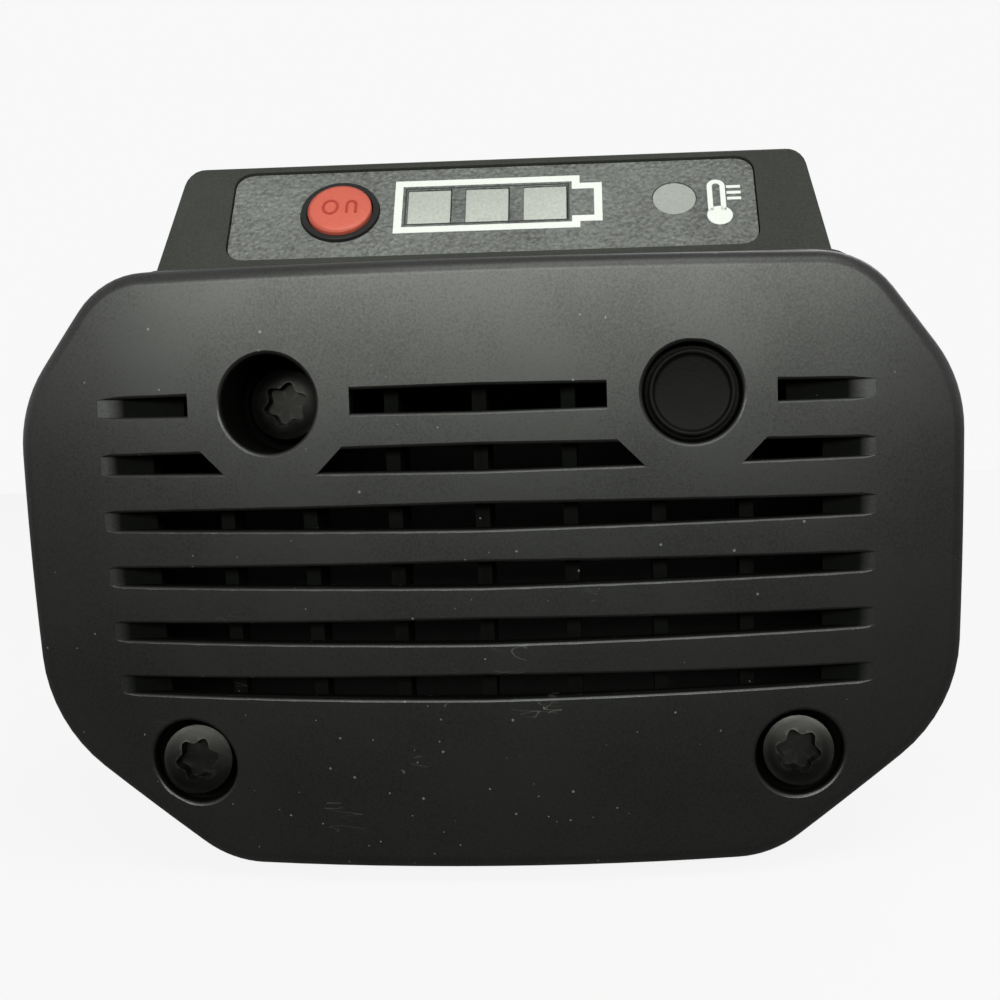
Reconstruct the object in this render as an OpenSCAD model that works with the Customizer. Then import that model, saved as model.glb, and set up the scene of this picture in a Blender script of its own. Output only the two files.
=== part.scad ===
// Slide-on battery pack for a cordless power tool.
// X is across the pack, Y runs from the vented base to the tool end, Z is up towards the display.

/* [Case] */
// Width of the case
case_w = 85; // [84:0.5:92]
// Height of the case without the display pod
case_h = 56; // [56:0.5:60]
// Depth from the vented face to the parting line
cover_depth = 19; // [18.5:0.5:22]
// Wall of the main housing
housing_wall = 2.2; // [1.8:0.1:2.4]
// Wall of the base cover
cover_wall = 2.4; // [2:0.1:2.8]
// Width of the flat along the display side
top_flat_w = 65.6; // [62:0.2:68]
// Width of the flat that the pack lies on
bottom_flat_w = 45.2; // [44:0.2:50]
// Height where the side meets the lower slant
lower_side_z = 15.1; // [13:0.1:16]
// Height where the side meets the upper slant
upper_side_z = 43.7; // [42:0.1:46]
// Rounding between side and lower slant
flank_r = 13; // [8:0.5:14]
// Rounding between side and upper slant
shoulder_r = 9.7; // [6:0.1:12]
// Rounding between upper slant and top flat
top_r = 4.2; // [3:0.1:6]
// Rounding between lower slant and bottom flat
foot_r = 3; // [2:0.1:5]
// Rounding of the edges at the tool end
end_r = 4; // [1:0.5:6]

/* [Vented face] */
// Crown radius across the face
crown_rx = 114; // [100:1:200]
// Crown radius up the face
crown_rz = 141; // [120:1:260]
// Height of the crown's highest line
crown_z = 50.1; // [46:0.1:54]
// Rounding between face and side walls
face_r = 6.5; // [4:0.1:7]
// Number of slot rows
slot_rows = 6; // [3:1:6]
// Height of the top slot row
slot_top_z = 43; // [42:0.1:44]
// Distance between slot rows
slot_pitch = 4.9; // [4.5:0.1:5.2]
// Height of a slot at its ends
slot_end_h = 1.5; // [1.2:0.1:2]
// Height of a slot in the middle
slot_mid_h = 2.1; // [1.6:0.1:2.8]
// Distance of a slot's ends from the middle
slot_reach = 33.2; // [28:0.1:34]
// Distance across the flats of the solid land round an upper well
land_af = 14.1; // [13:0.1:16]
// Thickness of the ribs behind the slots
rib_t = 1.2; // [0.8:0.1:2]
// Distance between the ribs behind the slots
rib_pitch = 7.4; // [6:0.1:9]
// Depth of the ribs behind the slots, from the crown
rib_depth = 10; // [9.5:0.1:11]

/* [Cover screws] */
// Distance between the upper screws
upper_screw_w = 35.4; // [34:0.2:37]
// Distance between the lower screws
lower_screw_w = 53.5; // [51:0.1:54]
// Height of the lower screws
lower_screw_z = 11.4; // [11:0.1:12.5]
// Depth of the seats under the screw heads
screw_seat = 12; // [11.5:0.1:12.4]
// Thickness of a seat
seat_t = 3; // [2:0.1:3.4]
// Diameter of an upper well
well_d = 8.3; // [7:0.1:9]
// Diameter of a lower recess
recess_d = 7.9; // [7:0.1:8]
// Diameter of a screw head
head_d = 6; // [5:0.1:6.8]
// Height of a screw head
head_h = 2.3; // [1.8:0.1:2.6]
// Diameter of a screw shank
shank_d = 3.4; // [2.6:0.1:3.6]
// Length of a screw under its head
screw_l = 12; // [9:0.5:13]
// Size of the star drive over its points
drive_d = 3.4; // [2.6:0.1:3.6]
// Wall round a screw in its boss
boss_wall = 1.7; // [1.4:0.1:2]

/* [Display pod] */
// Height of the pod's top over the case
pod_rise = 10.9; // [10.7:0.1:14]
// Width of the pod at the case
pod_base_w = 64; // [62:0.2:66]
// Width of the pod at its top
pod_top_w = 60.8; // [58:0.2:62]
// Depth at which the pod's top ends
pod_back = 62; // [56:1:70]
// Lean of the display from upright, in degrees
panel_lean = 38; // [30:1:44]
// Depth of the panel's lower edge
panel_y = 22.7; // [22.6:0.1:25]
// Height of the panel's lower edge over the case
panel_rise = 0.9; // [0.8:0.1:1.4]
// Width of the display panel
panel_w = 51; // [50:0.2:53]
// Length of the display panel up its slope
panel_h = 11.6; // [11.2:0.1:12]
// Thickness of the display panel
panel_t = 1; // [0.8:0.1:1.4]
// Rounding of the panel's corners
panel_r = 1.8; // [0.6:0.1:3]
// Depth of the panel below the pod's face
panel_sink = 0.25; // [0.1:0.05:0.6]
// Middle of the button from the panel's middle
button_x = -14.8; // [-16:0.1:-14.6]
// Middle of the button from the panel's lower edge
button_u = 6; // [5.6:0.1:6.1]
// Diameter of the red button
button_d = 6.3; // [5:0.1:7]
// Height of the button over the panel
button_rise = 0.9; // [0.6:0.1:2]
// Travel of the button
button_travel = 0.7; // [0.3:0.05:0.8]
// Wall of the collar round the button
seal_wall = 0.6; // [0.4:0.05:0.8]
// Height of the collar over the panel
seal_rise = 0.35; // [0.2:0.05:0.8]
// Width of a charge window
window_w = 4.2; // [3:0.1:4.4]
// Height of a charge window
window_h = 4.4; // [3:0.1:5]
// Distance between charge windows
window_pitch = 5.65; // [5.2:0.05:6]
// Middle of the charge windows from the panel's middle
window_x = -0.4; // [-0.6:0.1:0.6]
// Middle of the windows from the panel's lower edge
window_u = 6.5; // [5.8:0.1:6.8]
// Middle of the temperature window from the panel's middle
lamp_x = 17.7; // [16:0.1:19]
// Diameter of the temperature window
lamp_d = 4.2; // [3:0.1:5]

/* [Cells] */
// Diameter of a cell
cell_d = 18.3; // [18:0.05:18.4]
// Length of a cell
cell_l = 65; // [62:0.5:70]
// Distance between neighbouring cells
cell_pitch = 18.75; // [18.6:0.05:18.85]
// Depth at which the cells start
cell_y = 27.5; // [27.5:0.1:30]
// Height of the bottom row of cells
cell_row_z = 11.65; // [11.6:0.05:11.8]
// Depth of the holders along the cells
holder_l = 10; // [6:0.5:14]
// Thickness of the lips that stop the cells
lip_t = 0.8; // [0.6:0.1:1]
// Thickness of the busbars
busbar_t = 0.5; // [0.3:0.1:0.6]
// Width of the busbars
busbar_w = 8; // [6:0.5:8.4]
// Thickness of the insulating sheet over the front busbars
insulator_t = 0.4; // [0.2:0.1:0.6]

/* [Tool end] */
// Clear depth behind the cells for the board and the catches
bay_l = 10.2; // [10.2:0.1:14]
// Thickness of the end wall
end_wall = 2.5; // [2:0.1:4]
// Width of the neck between the rail grooves
neck_w = 48; // [47:0.5:50]
// Height of the rail grooves
groove_h = 5.5; // [5:0.1:8]
// Width over the rails
rail_w = 60; // [56:0.5:66]
// Thickness of the rails
rail_t = 5; // [4:0.1:7]
// Length of the rails
rail_l = 46; // [42:0.5:46]
// Height of the rails' lower end
rail_z = 6; // [5:0.5:7]
// Width of the contact carrier
carrier_w = 24; // [23:0.2:24.4]
// Length of the contact carrier
carrier_l = 28; // [24:0.5:30]
// Distance between contact slots
contact_pitch = 6; // [5.4:0.1:6]
// Width of a contact slot
contact_slot_w = 3.4; // [3:0.1:3.6]
// Length of a contact slot
contact_slot_l = 18; // [14:0.5:20]
// Thickness of a circuit board
board_t = 1.6; // [1:0.1:2]

/* [Catches] */
// Height of a catch's finger pad
pad_h = 17; // [16:0.5:18]
// Height of the middle of the finger pads
pad_z = 30; // [29:0.5:30]
// Length of a finger pad along the case
pad_l = 8.4; // [7:0.1:8.4]
// Height of the finger pads over the side wall
pad_rise = 0.8; // [0.4:0.1:2]
// Travel of a catch
catch_travel = 3.2; // [2:0.1:3.4]
// Height of a catch's arm and tooth
catch_h = 6; // [4:0.5:6]
// Wire of a catch spring
wire_d = 0.6; // [0.4:0.05:0.7]
// Mean diameter of a catch spring
coil_d = 4; // [3:0.1:4.4]
// Number of curls of a catch spring
coil_turns = 6; // [4:1:7]

/* [Fits] */
// Gap between fixed pieces that slip together
slip = 0.1; // [0.05:0.05:0.2]
// Gap round pieces that move
run = 0.3; // [0.2:0.05:0.4]
// Gap between the cell holders and the housing
holder_gap = 0.5; // [0.4:0.05:0.6]

/* [Hidden] */
$fn = 48;
far = 200;
eps = 0.01;
arc_steps = 5;

// Depths of the parts of the pack, measured from the highest point of the vented face
cell_end = cell_y + cell_l;
bay_start = cell_end + lip_t;
wall_in = cell_end + lip_t + busbar_t + bay_l;
case_depth = wall_in + end_wall;
neck_end = case_depth + groove_h;
pack_depth = neck_end + rail_t;
pack_h = case_h + pod_rise;

// Vented face
function crown(x, z) = x * x / (2 * crown_rx) + pow(z - crown_z, 2) / (2 * crown_rz);
function row_z(row) = slot_top_z - row * slot_pitch;
function slot_floor(row) = crown(slot_reach, row_z(row));

// Corners of the case outline, anticlockwise from the lower right
case_corners = [
    [bottom_flat_w / 2, 0], [case_w / 2, lower_side_z], [case_w / 2, upper_side_z], [top_flat_w / 2, case_h],
    [-top_flat_w / 2, case_h], [-case_w / 2, upper_side_z], [-case_w / 2, lower_side_z], [-bottom_flat_w / 2, 0]
];
case_radii = [foot_r, flank_r, shoulder_r, top_r, top_r, shoulder_r, flank_r, foot_r];
// Points added along each straight edge, so that the edge can follow the crown
edge_splits = [1, 2, 1, 7, 1, 2, 1, 5];
least_r = 0.4;

function unit(v) = v / norm(v);
function outward(a, b) = unit([b[1] - a[1], a[0] - b[0]]);
function turned(v, angle) = [v[0] * cos(angle) - v[1] * sin(angle), v[0] * sin(angle) + v[1] * cos(angle)];
function angle_between(a, b) = atan2(a[0] * b[1] - a[1] * b[0], a * b);

// One rounded corner, moved inwards by inset
function corner_arc(before, corner, after, radius, inset, steps) =
    let (
        n1 = outward(before, corner),
        n2 = outward(corner, after),
        r = max(radius - inset, least_r),
        centre = corner - (inset + r) * (n1 + n2) / (1 + n1 * n2),
        sweep = angle_between(n1, n2)
    )
    [for (k = [0 : steps]) centre + r * turned(n1, sweep * k / steps)];

// A closed outline with rounded corners and split edges
function rounded(corners, radii, inset = 0, steps = arc_steps, splits = []) =
    let (
        n = len(corners),
        arcs = [for (i = [0 : n - 1])
            corner_arc(corners[(i + n - 1) % n], corners[i], corners[(i + 1) % n], radii[i], inset, steps)]
    )
    [for (i = [0 : n - 1])
        let (cuts = splits[i] == undef ? 0 : splits[i], start = arcs[i][steps], end = arcs[(i + 1) % n][0])
        each concat(arcs[i], cuts == 0 ? [] : [for (k = [1 : cuts]) start + (end - start) * k / (cuts + 1)])];

function case_outline(inset) = rounded(case_corners, case_radii, inset, arc_steps, edge_splits);

// Faces of a solid lofted through rings of equal length, closed by a fan round a point at each end
function loft_faces(ring_n, rings) = concat(
    [for (i = [0 : ring_n - 1]) [0, 1 + (i + 1) % ring_n, 1 + i]],
    [for (k = [0 : rings - 2], i = [0 : ring_n - 1])
        let (a = 1 + k * ring_n + i, b = 1 + k * ring_n + (i + 1) % ring_n)
        each [[a, b, b + ring_n], [a, b + ring_n, a + ring_n]]],
    let (last = 1 + (rings - 1) * ring_n)
    [for (i = [0 : ring_n - 1]) [last + i, last + (i + 1) % ring_n, last + ring_n]]
);

// Middle of the face
face_centre = [0, case_h / 2];
// Height by which the edge band stands over the crown where it is cut off
band_rise = 1.5;
edge_steps = 5;

// Case outline whose front edge is rounded where it meets the crown
module edge_band(back) {
    turns = [for (k = [edge_steps - 1 : -1 : 0]) 90 * k / edge_steps];
    insets = [for (a = turns) face_r * (1 - cos(a))];
    drops = [for (a = turns) face_r * (1 - sin(a))];
    slope = (insets[0] - insets[1]) / (drops[1] - drops[0]);
    all_insets = concat([insets[0] + slope * (drops[0] + band_rise)], insets);
    all_drops = concat([-band_rise], drops);
    tip = [[face_centre[0], -4 * band_rise, face_centre[1]]];
    band = [for (k = [0 : edge_steps], p = case_outline(all_insets[k]))
        [p[0], crown(p[0], p[1]) + all_drops[k], p[1]]];
    end = [for (p = case_outline(0)) [p[0], back, p[1]]];
    back_tip = [[face_centre[0], back, face_centre[1]]];
    polyhedron(concat(tip, band, end, back_tip), loft_faces(len(end), edge_steps + 2));
}

// Solid behind the crowned face, set back by skin: an arc turned about an upright axis
module crown_solid(skin) {
    arc_r = crown_rz - skin;
    translate([0, crown_rx, 0])
        rotate_extrude($fn = 180)
            intersection() {
                translate([crown_rx - crown_rz, crown_z])
                    circle(r = arc_r, $fn = 180);
                translate([crown_rx / 2, -case_h])
                    square([crown_rx, 3 * case_h]);
            }
}

// Upright prism along the pack's depth, from depth y1 to depth y2, over points in X and Z
module along_y(y1, y2, points) {
    translate([0, y2, 0])
        rotate([90, 0, 0])
            linear_extrude(y2 - y1)
                polygon(points);
}

// Round bar or bore along the pack's depth
module rod_y(x, z, y1, y2, d) {
    translate([x, y2, z])
        rotate([90, 0, 0])
            cylinder(d = d, h = y2 - y1);
}

// Block from its lowest to its highest corner
module block(low, high) {
    translate(low)
        cube(high - low);
}

// Sets the pack's middle over the origin
module placed() {
    translate([0, -pack_depth / 2, 0])
        children();
}

// Frame of the display: X across, Y up the slope from the panel's lower edge, Z out of the panel
module on_display() {
    translate([0, panel_y, case_h + panel_rise])
        rotate([90 - panel_lean, 0, 0])
            children();
}

// Copies for the left and the right side
module both_sides() {
    children();
    mirror([1, 0, 0])
        children();
}

// Base cover

upper_x = upper_screw_w / 2;
lower_x = lower_screw_w / 2;
screw_spots = [
    [upper_x, slot_top_z, well_d], [-upper_x, slot_top_z, well_d],
    [lower_x, lower_screw_z, recess_d], [-lower_x, lower_screw_z, recess_d]
];
seat_back = screw_seat + seat_t;
screw_hole_d = shank_d + 4 * slip;
tongue_l = 1.5;
tongue_inset = 1.2;
rib_count = 9;
rib_low = row_z(slot_rows - 1) - slot_pitch / 2;
rib_high = slot_top_z + slot_pitch / 2;
rim_extra = 1;
rib_set_back = 1.4;
well_wall = 1.9;
recess_wall = 1.1;

// Slots taper a little towards their ends and go right through the wall
module slot_cutters() {
    for (row = [0 : slot_rows - 1])
        translate([0, 0, row_z(row)])
            along_y(-1, slot_floor(row) + cover_wall + rim_extra, [
                [-slot_reach, -slot_end_h / 2], [0, -slot_mid_h / 2], [slot_reach, -slot_end_h / 2],
                [slot_reach, slot_end_h / 2], [0, slot_mid_h / 2], [-slot_reach, slot_end_h / 2]
            ]);
}

module well_lands() {
    for (side = [-1, 1])
        translate([side * upper_x, seat_back, slot_top_z])
            rotate([90, 0, 0])
                rotate(22.5)
                    cylinder(d = land_af / cos(22.5), h = seat_back + 2, $fn = 8);
}

module cover_columns() {
    for (spot = screw_spots) {
        column_d = spot[2] + 2 * (spot[1] == slot_top_z ? well_wall : recess_wall);
        rod_y(spot[0], spot[1], -1, seat_back, column_d);
    }
}

// Upright ribs that tie the bars between the slots together, set back from the face
module vent_ribs() {
    intersection() {
        crown_solid(rib_set_back);
        union()
            for (k = [0 : rib_count - 1]) {
                x = (k - (rib_count - 1) / 2) * rib_pitch;
                block([x - rib_t / 2, -1, rib_low], [x + rib_t / 2, rib_depth, rib_high]);
            }
    }
}

module base_cover() {
    color("#26282a")
        placed()
            difference() {
                intersection() {
                    crown_solid(0);
                    edge_band(cover_depth);
                }
                difference() {
                    intersection() {
                        crown_solid(cover_wall);
                        along_y(0, cover_depth + 1, case_outline(cover_wall + rim_extra));
                    }
                    cover_columns();
                    vent_ribs();
                }
                difference() {
                    slot_cutters();
                    well_lands();
                    vent_ribs();
                }
                for (spot = screw_spots) {
                    rod_y(spot[0], spot[1], -2, screw_seat, spot[2]);
                    rod_y(spot[0], spot[1], -2, cover_depth, screw_hole_d);
                }
                along_y(cover_depth - tongue_l - slip, cover_depth + 1, case_outline(tongue_inset - slip));
            }
}

// Main housing

ledge = 2;
pod_wall = 2.6;
pod_front_y = cover_depth + run;
pod_low = case_h - 5;
pod_slope = 12;
pod_edge_r = [1, 6, 2];
overhang = 0.3;
bay_inset = housing_wall + ledge;
neck_wall = 2.2;
rail_top = rail_z + rail_l;
rail_roof = 2.5;
rail_chamfer = 1;
boss_end = cell_y - lip_t - busbar_t - insulator_t - run;
web_end = boss_end - ledge;
boss_d = shank_d + 2 * slip + 2 * boss_wall;
boss_web = 1.6;
slant = outward(case_corners[0], case_corners[1]);
panel_seat = 1;
board_gap = 4;
display_t = 1.2;
display_w = panel_w + 1;
display_h = panel_h - 2;
pillar_w = 2.4;

// Where the slope of the display's surround reaches a height
surround_y = panel_y - panel_sink * cos(panel_lean);
surround_z = case_h + panel_rise + panel_sink * sin(panel_lean);
function slope_y(z) = surround_y + (z - surround_z) * tan(panel_lean);
function slope_z(y) = surround_z + (y - surround_y) / tan(panel_lean);

// Prism along X or Z over points in the other two directions
module along_x(w, points) {
    translate([-w / 2, 0, 0])
        rotate([90, 0, 90])
            linear_extrude(w)
                polygon(points);
}
module along_z(z1, z2, points) {
    translate([0, 0, z1])
        linear_extrude(z2 - z1)
            polygon(points);
}

module case_body() {
    side = [[cover_depth - far, -overhang], [case_depth, -overhang], [case_depth, case_h + overhang],
        [cover_depth - far, case_h + overhang]];
    half = case_w / 2 + overhang;
    plan = [[-half, cover_depth - far], [half, cover_depth - far], [half, case_depth + overhang],
        [-half, case_depth + overhang]];
    intersection() {
        along_y(cover_depth, case_depth + 1, case_outline(0));
        along_x(2 * case_w, rounded(side, [1, end_r, end_r, 1]));
        along_z(-1, case_h + 1, rounded(plan, [1, 1, end_r, end_r]));
    }
}

// Display pod, or its inside at a given wall
module pod(wall, low) {
    side = [[pod_front_y, low], [pod_back + pod_slope, low], [pod_back, pack_h], [slope_y(pack_h), pack_h],
        [pod_front_y, slope_z(pod_front_y)]];
    spread = (pod_base_w - pod_top_w) / 2 / pod_rise * (case_h - low);
    front = [[-pod_base_w / 2 - spread, low], [pod_base_w / 2 + spread, low], [pod_top_w / 2, pack_h],
        [-pod_top_w / 2, pack_h]];
    intersection() {
        along_x(2 * case_w, rounded(side, [1, 1, pod_edge_r[1], pod_edge_r[0], 1], wall));
        along_y(cover_depth - far, case_depth, rounded(front, [1, 1, pod_edge_r[2], pod_edge_r[2]], wall));
    }
}

module rail_head() {
    neck = neck_w / 2;
    rail = rail_w / 2;
    along_z(rail_z, rail_top, [
        [-neck, wall_in + 1], [neck, wall_in + 1], [neck, neck_end], [rail, neck_end],
        [rail, pack_depth - rail_chamfer], [rail - rail_chamfer, pack_depth], [-rail + rail_chamfer, pack_depth],
        [-rail, pack_depth - rail_chamfer], [-rail, neck_end], [-neck, neck_end]
    ]);
}

// Openings of the tool end: neck, carrier pocket, windows of the catches
module tool_end_cuts() {
    inner = neck_w / 2 - neck_wall;
    pocket = carrier_w / 2 + slip;
    block([-inner, wall_in - 1, rail_z + neck_wall], [inner, pack_depth - rail_roof, rail_top - neck_wall]);
    block([-pocket, wall_in - 1, rail_z - 1], [pocket, pack_depth + 1, rail_z + carrier_l + slip]);
    both_sides() {
        block([bay_x - 1, pad_low_y - run, pad_z - pad_h / 2 - run],
            [case_w, pad_low_y + pad_l + run, pad_z + pad_h / 2 + run]);
        block([inner - 1, tooth_y - run, pad_z - catch_h - run],
            [neck_w / 2 + 1, tooth_y + tooth_t + run, pad_z + run]);
    }
}

module screw_bosses() {
    both_sides() {
        rod_y(upper_x, slot_top_z, seat_back, boss_end, boss_d);
        block([upper_x - boss_web / 2, cover_depth + tongue_l, slot_top_z],
            [upper_x + boss_web / 2, web_end, case_h - housing_wall / 2]);
        rod_y(lower_x, lower_screw_z, seat_back, boss_end, boss_d);
        translate([lower_x, 0, lower_screw_z])
            rotate([0, atan2(-slant[1], slant[0]), 0])
                block([0, cover_depth + tongue_l, -boss_web / 2], [boss_d / 2 + ledge, web_end, boss_web / 2]);
    }
}

module display_pillars() {
    on_display()
        both_sides()
            block([panel_w / 2 - pillar_w, panel_h / 2 - pillar_w, -panel_t - board_gap],
                [panel_w / 2, panel_h / 2 + pillar_w, -panel_t - panel_seat / 2]);
}

module display_cuts() {
    on_display() {
        translate([0, -slip, -panel_t])
            linear_extrude(4 * panel_t)
                polygon(panel_outline(slip));
        block([-panel_w / 2 + pillar_w + slip, panel_seat, -2 * pod_wall],
            [panel_w / 2 - pillar_w - slip, panel_h - panel_seat, 0]);
    }
}

module spring_stops() {
    both_sides()
        block([stop_x - stop_t, bay_mid - coil_d, spring_z - coil_d / 2 - wire_d],
            [stop_x, wall_in + 1, spring_z + coil_d / 2 + wire_d]);
}

module main_housing() {
    color("#1f2123")
        placed()
            difference() {
                union() {
                    difference() {
                        union() {
                            case_body();
                            along_y(cover_depth - tongue_l, cover_depth + 1, case_outline(tongue_inset));
                            pod(0, pod_low);
                            rail_head();
                        }
                        along_y(0, bay_start, case_outline(housing_wall));
                        along_y(bay_start - 1, wall_in, case_outline(bay_inset));
                        pod(pod_wall, pod_low - 2 * pod_wall);
                        tool_end_cuts();
                    }
                    screw_bosses();
                    display_pillars();
                    spring_stops();
                }
                display_cuts();
                for (spot = screw_spots)
                    rod_y(spot[0], spot[1], 0, boss_end + 1, shank_d + 2 * slip);
            }
}

// Cover screws and plug

plug_y = 2.3;
plug_t = 3;
plug_rim = 0.7;
plug_dish = 0.35;
drive_depth = 1.4;
drive_points = 6;
drive_wave = 0.13;
head_crown_r = 9;

// Star drive: a ring that swells and shrinks six times
function star(d) = [for (a = [0 : 10 : 350]) d / 2 * (1 - drive_wave * (1 - cos(drive_points * a))) * [cos(a), sin(a)]];

module cover_screw() {
    rotate([90, 0, 0])
        difference() {
            union() {
                intersection() {
                    cylinder(d = head_d, h = head_h);
                    translate([0, 0, head_h - head_crown_r])
                        sphere(r = head_crown_r, $fn = 64);
                }
                translate([0, 0, -screw_l])
                    cylinder(d = shank_d, h = screw_l + eps);
            }
            translate([0, 0, head_h - drive_depth])
                linear_extrude(2 * drive_depth)
                    polygon(star(drive_d));
        }
}

module cover_screws() {
    color("#3a3b3d")
        placed()
            for (spot = screw_spots)
                translate([spot[0], screw_seat, spot[1]])
                    cover_screw();
}

module seal_plug() {
    color("#0d0d0e")
        placed()
            difference() {
                rod_y(upper_x, slot_top_z, plug_y, plug_y + plug_t, well_d - slip);
                rod_y(upper_x, slot_top_z, 0, plug_y + plug_dish, well_d - slip - 2 * plug_rim);
            }
}

// Display

function panel_outline(grow) = let (half = panel_w / 2)
    [for (p = rounded([[-half, 0], [half, 0], [half, panel_h], [-half, panel_h]], [for (i = [0 : 3]) panel_r], -grow))
        p + [0, grow]];
seal_d = button_d + 2 * slip + 2 * seal_wall;
seal_flange = 0.9;
button_flange = 0.7;
button_gap = 0.2;
button_dome = 0.3;
flange_top = -panel_t - seal_flange - button_gap;
plunger_top = flange_top - button_flange - button_travel - slip / 2;
board_top = -panel_t - board_gap;
plunger_d = 3.2;
switch_w = 6;
led_w = 3;
led_h = 1.8;
led_t = 1;
charge_count = 3;
window_t = panel_t - slip;
function charge_x(k) = window_x + (k - 1) * window_pitch;

module display_panel() {
    color("#35373a")
        placed()
            on_display()
                difference() {
                    translate([0, 0, -panel_t])
                        linear_extrude(panel_t)
                            polygon(panel_outline(0));
                    translate([button_x, button_u, -2 * panel_t])
                        cylinder(d = seal_d + slip, h = 4 * panel_t);
                    translate([lamp_x, window_u, -2 * panel_t])
                        cylinder(d = lamp_d + slip, h = 4 * panel_t);
                    for (k = [0 : charge_count - 1])
                        block([charge_x(k) - window_w / 2 - slip / 2, window_u - window_h / 2 - slip / 2, -2 * panel_t],
                            [charge_x(k) + window_w / 2 + slip / 2, window_u + window_h / 2 + slip / 2, panel_t]);
                }
}

module button_seal() {
    color("#0b0b0c")
        placed()
            on_display()
                translate([button_x, button_u, 0])
                    difference() {
                        union() {
                            translate([0, 0, -panel_t - eps])
                                cylinder(d = seal_d, h = panel_t + seal_rise + eps);
                            translate([0, 0, -panel_t - seal_flange])
                                cylinder(d = seal_d + 2 * seal_wall, h = seal_flange);
                        }
                        translate([0, 0, -far / 2])
                            cylinder(d = button_d + 2 * slip, h = far);
                    }
}

module on_button() {
    half = button_d / 2;
    color("#d8382c")
        placed()
            on_display()
                translate([button_x, button_u, 0])
                    rotate_extrude()
                        polygon(concat(
                            [[0, flange_top - button_flange], [half + seal_wall / 2, flange_top - button_flange],
                                [half + seal_wall / 2, flange_top], [half, flange_top],
                                [half, button_rise - button_dome]],
                            [for (a = [15 : 15 : 90])
                                [half * cos(a), button_rise - button_dome + button_dome * sin(a)]]));
}

module charge_windows() {
    color("#b9bcbd")
        placed()
            on_display()
                for (k = [0 : charge_count - 1])
                    block([charge_x(k) - window_w / 2, window_u - window_h / 2, -panel_t],
                        [charge_x(k) + window_w / 2, window_u + window_h / 2, window_t - panel_t]);
}

module temperature_window() {
    color("#b0b3b4")
        placed()
            on_display()
                translate([lamp_x, window_u, -panel_t])
                    cylinder(d = lamp_d, h = window_t);
}

module display_board() {
    color("#2f6b3c")
        placed()
            on_display()
                block([-display_w / 2, (panel_h - display_h) / 2, board_top - display_t],
                    [display_w / 2, (panel_h + display_h) / 2, board_top]);
}

module button_switch() {
    color("#2a2a2b")
        placed()
            on_display()
                translate([button_x, button_u, board_top]) {
                    translate([-switch_w / 2, -switch_w / 2, 0])
                        cube([switch_w, switch_w, (plunger_top - board_top) / 2]);
                    cylinder(d = plunger_d, h = plunger_top - board_top);
                }
}

module led(x) {
    translate([x - led_w / 2, window_u - led_h / 2, board_top])
        cube([led_w, led_h, led_t]);
}

module charge_leds() {
    color("#e9e6d2")
        placed()
            on_display()
                for (k = [0 : charge_count - 1])
                    led(charge_x(k));
}

module temperature_led() {
    color("#e9e6d2")
        placed()
            on_display()
                led(lamp_x);
}

// Cells, holders and busbars

row_rise = cell_pitch * sin(60);
function cell_xz(i) =
    i <= 3 ? [(i - 2) * cell_pitch, cell_row_z]
    : i <= 7 ? [(i - 5.5) * cell_pitch, cell_row_z + row_rise]
    : [(i - 9) * cell_pitch, cell_row_z + 2 * row_rise];
cell_count = 10;
front_plus = [1, 4, 6, 7, 9, 10];
cap_d = 8.6;
cap_t = 0.7;
lip_hole = 13;
pad_d = busbar_w - 1.5;
lead_d = 2.8;
lead_spot = [32, 43.5];
lead_notch = lead_d + 4 * run;
bead_d = 3;
bead_l = 6;
bead_set_in = 24;
bead_start = cell_end - bead_set_in;
bead_wire = 1;
bead_spot = [0, cell_row_z + 2 * row_rise - cell_pitch / sqrt(3)];
left_post_x = 17.6;
left_post_z = 23.1;
right_post_x = 15.5;
right_post_z = 34.5;
post_spots = [[-left_post_x, left_post_z], [right_post_x, right_post_z]];
post_d = 4.6;
pin_d = 2.2;
pin_head_d = 4.2;
pin_head_h = 1.4;
board_y = bay_start + 3.2;
board_back = board_y + board_t;

module cell(i) {
    spot = cell_xz(i);
    plus_in_front = len(search(i, front_plus)) > 0;
    can_1 = plus_in_front ? cell_y + cap_t : cell_y;
    can_2 = plus_in_front ? cell_end : cell_end - cap_t;
    color("#4d7f8c")
        placed() {
            rod_y(spot[0], spot[1], can_1, can_2, cell_d);
            rod_y(spot[0], spot[1], cell_y, cell_end, cap_d);
        }
}

// Holder from y1 to y2, with its lip at the end that is named
module holder(y1, y2, lip_first) {
    bore_1 = lip_first ? y1 + lip_t : y1 - 1;
    bore_2 = lip_first ? y2 + 1 : y2 - lip_t;
    difference() {
        along_y(y1, y2, case_outline(housing_wall + holder_gap));
        for (i = [1 : cell_count]) {
            rod_y(cell_xz(i)[0], cell_xz(i)[1], bore_1, bore_2, cell_d + 2 * slip);
            rod_y(cell_xz(i)[0], cell_xz(i)[1], y1 - 1, y2 + 1, lip_hole);
        }
        for (side = [-1, 1])
            rod_y(side * lead_spot[0], lead_spot[1], y1 - 1, y2 + 1, lead_notch);
        rod_y(bead_spot[0], bead_spot[1], y1 - 1, y2 + 1, 2 * bead_wire);
    }
}

module front_cell_holder() {
    color("#3b3f42")
        placed()
            holder(cell_y - lip_t, cell_y + holder_l, true);
}

module rear_cell_holder() {
    color("#3b3f42")
        placed()
            difference() {
                union() {
                    holder(cell_end - holder_l, bay_start, false);
                    for (spot = post_spots)
                        rod_y(spot[0], spot[1], cell_end + slip, board_y, post_d);
                }
                for (spot = post_spots)
                    rod_y(spot[0], spot[1], bay_start, board_y + 1, pin_d + slip);
            }
}

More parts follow.
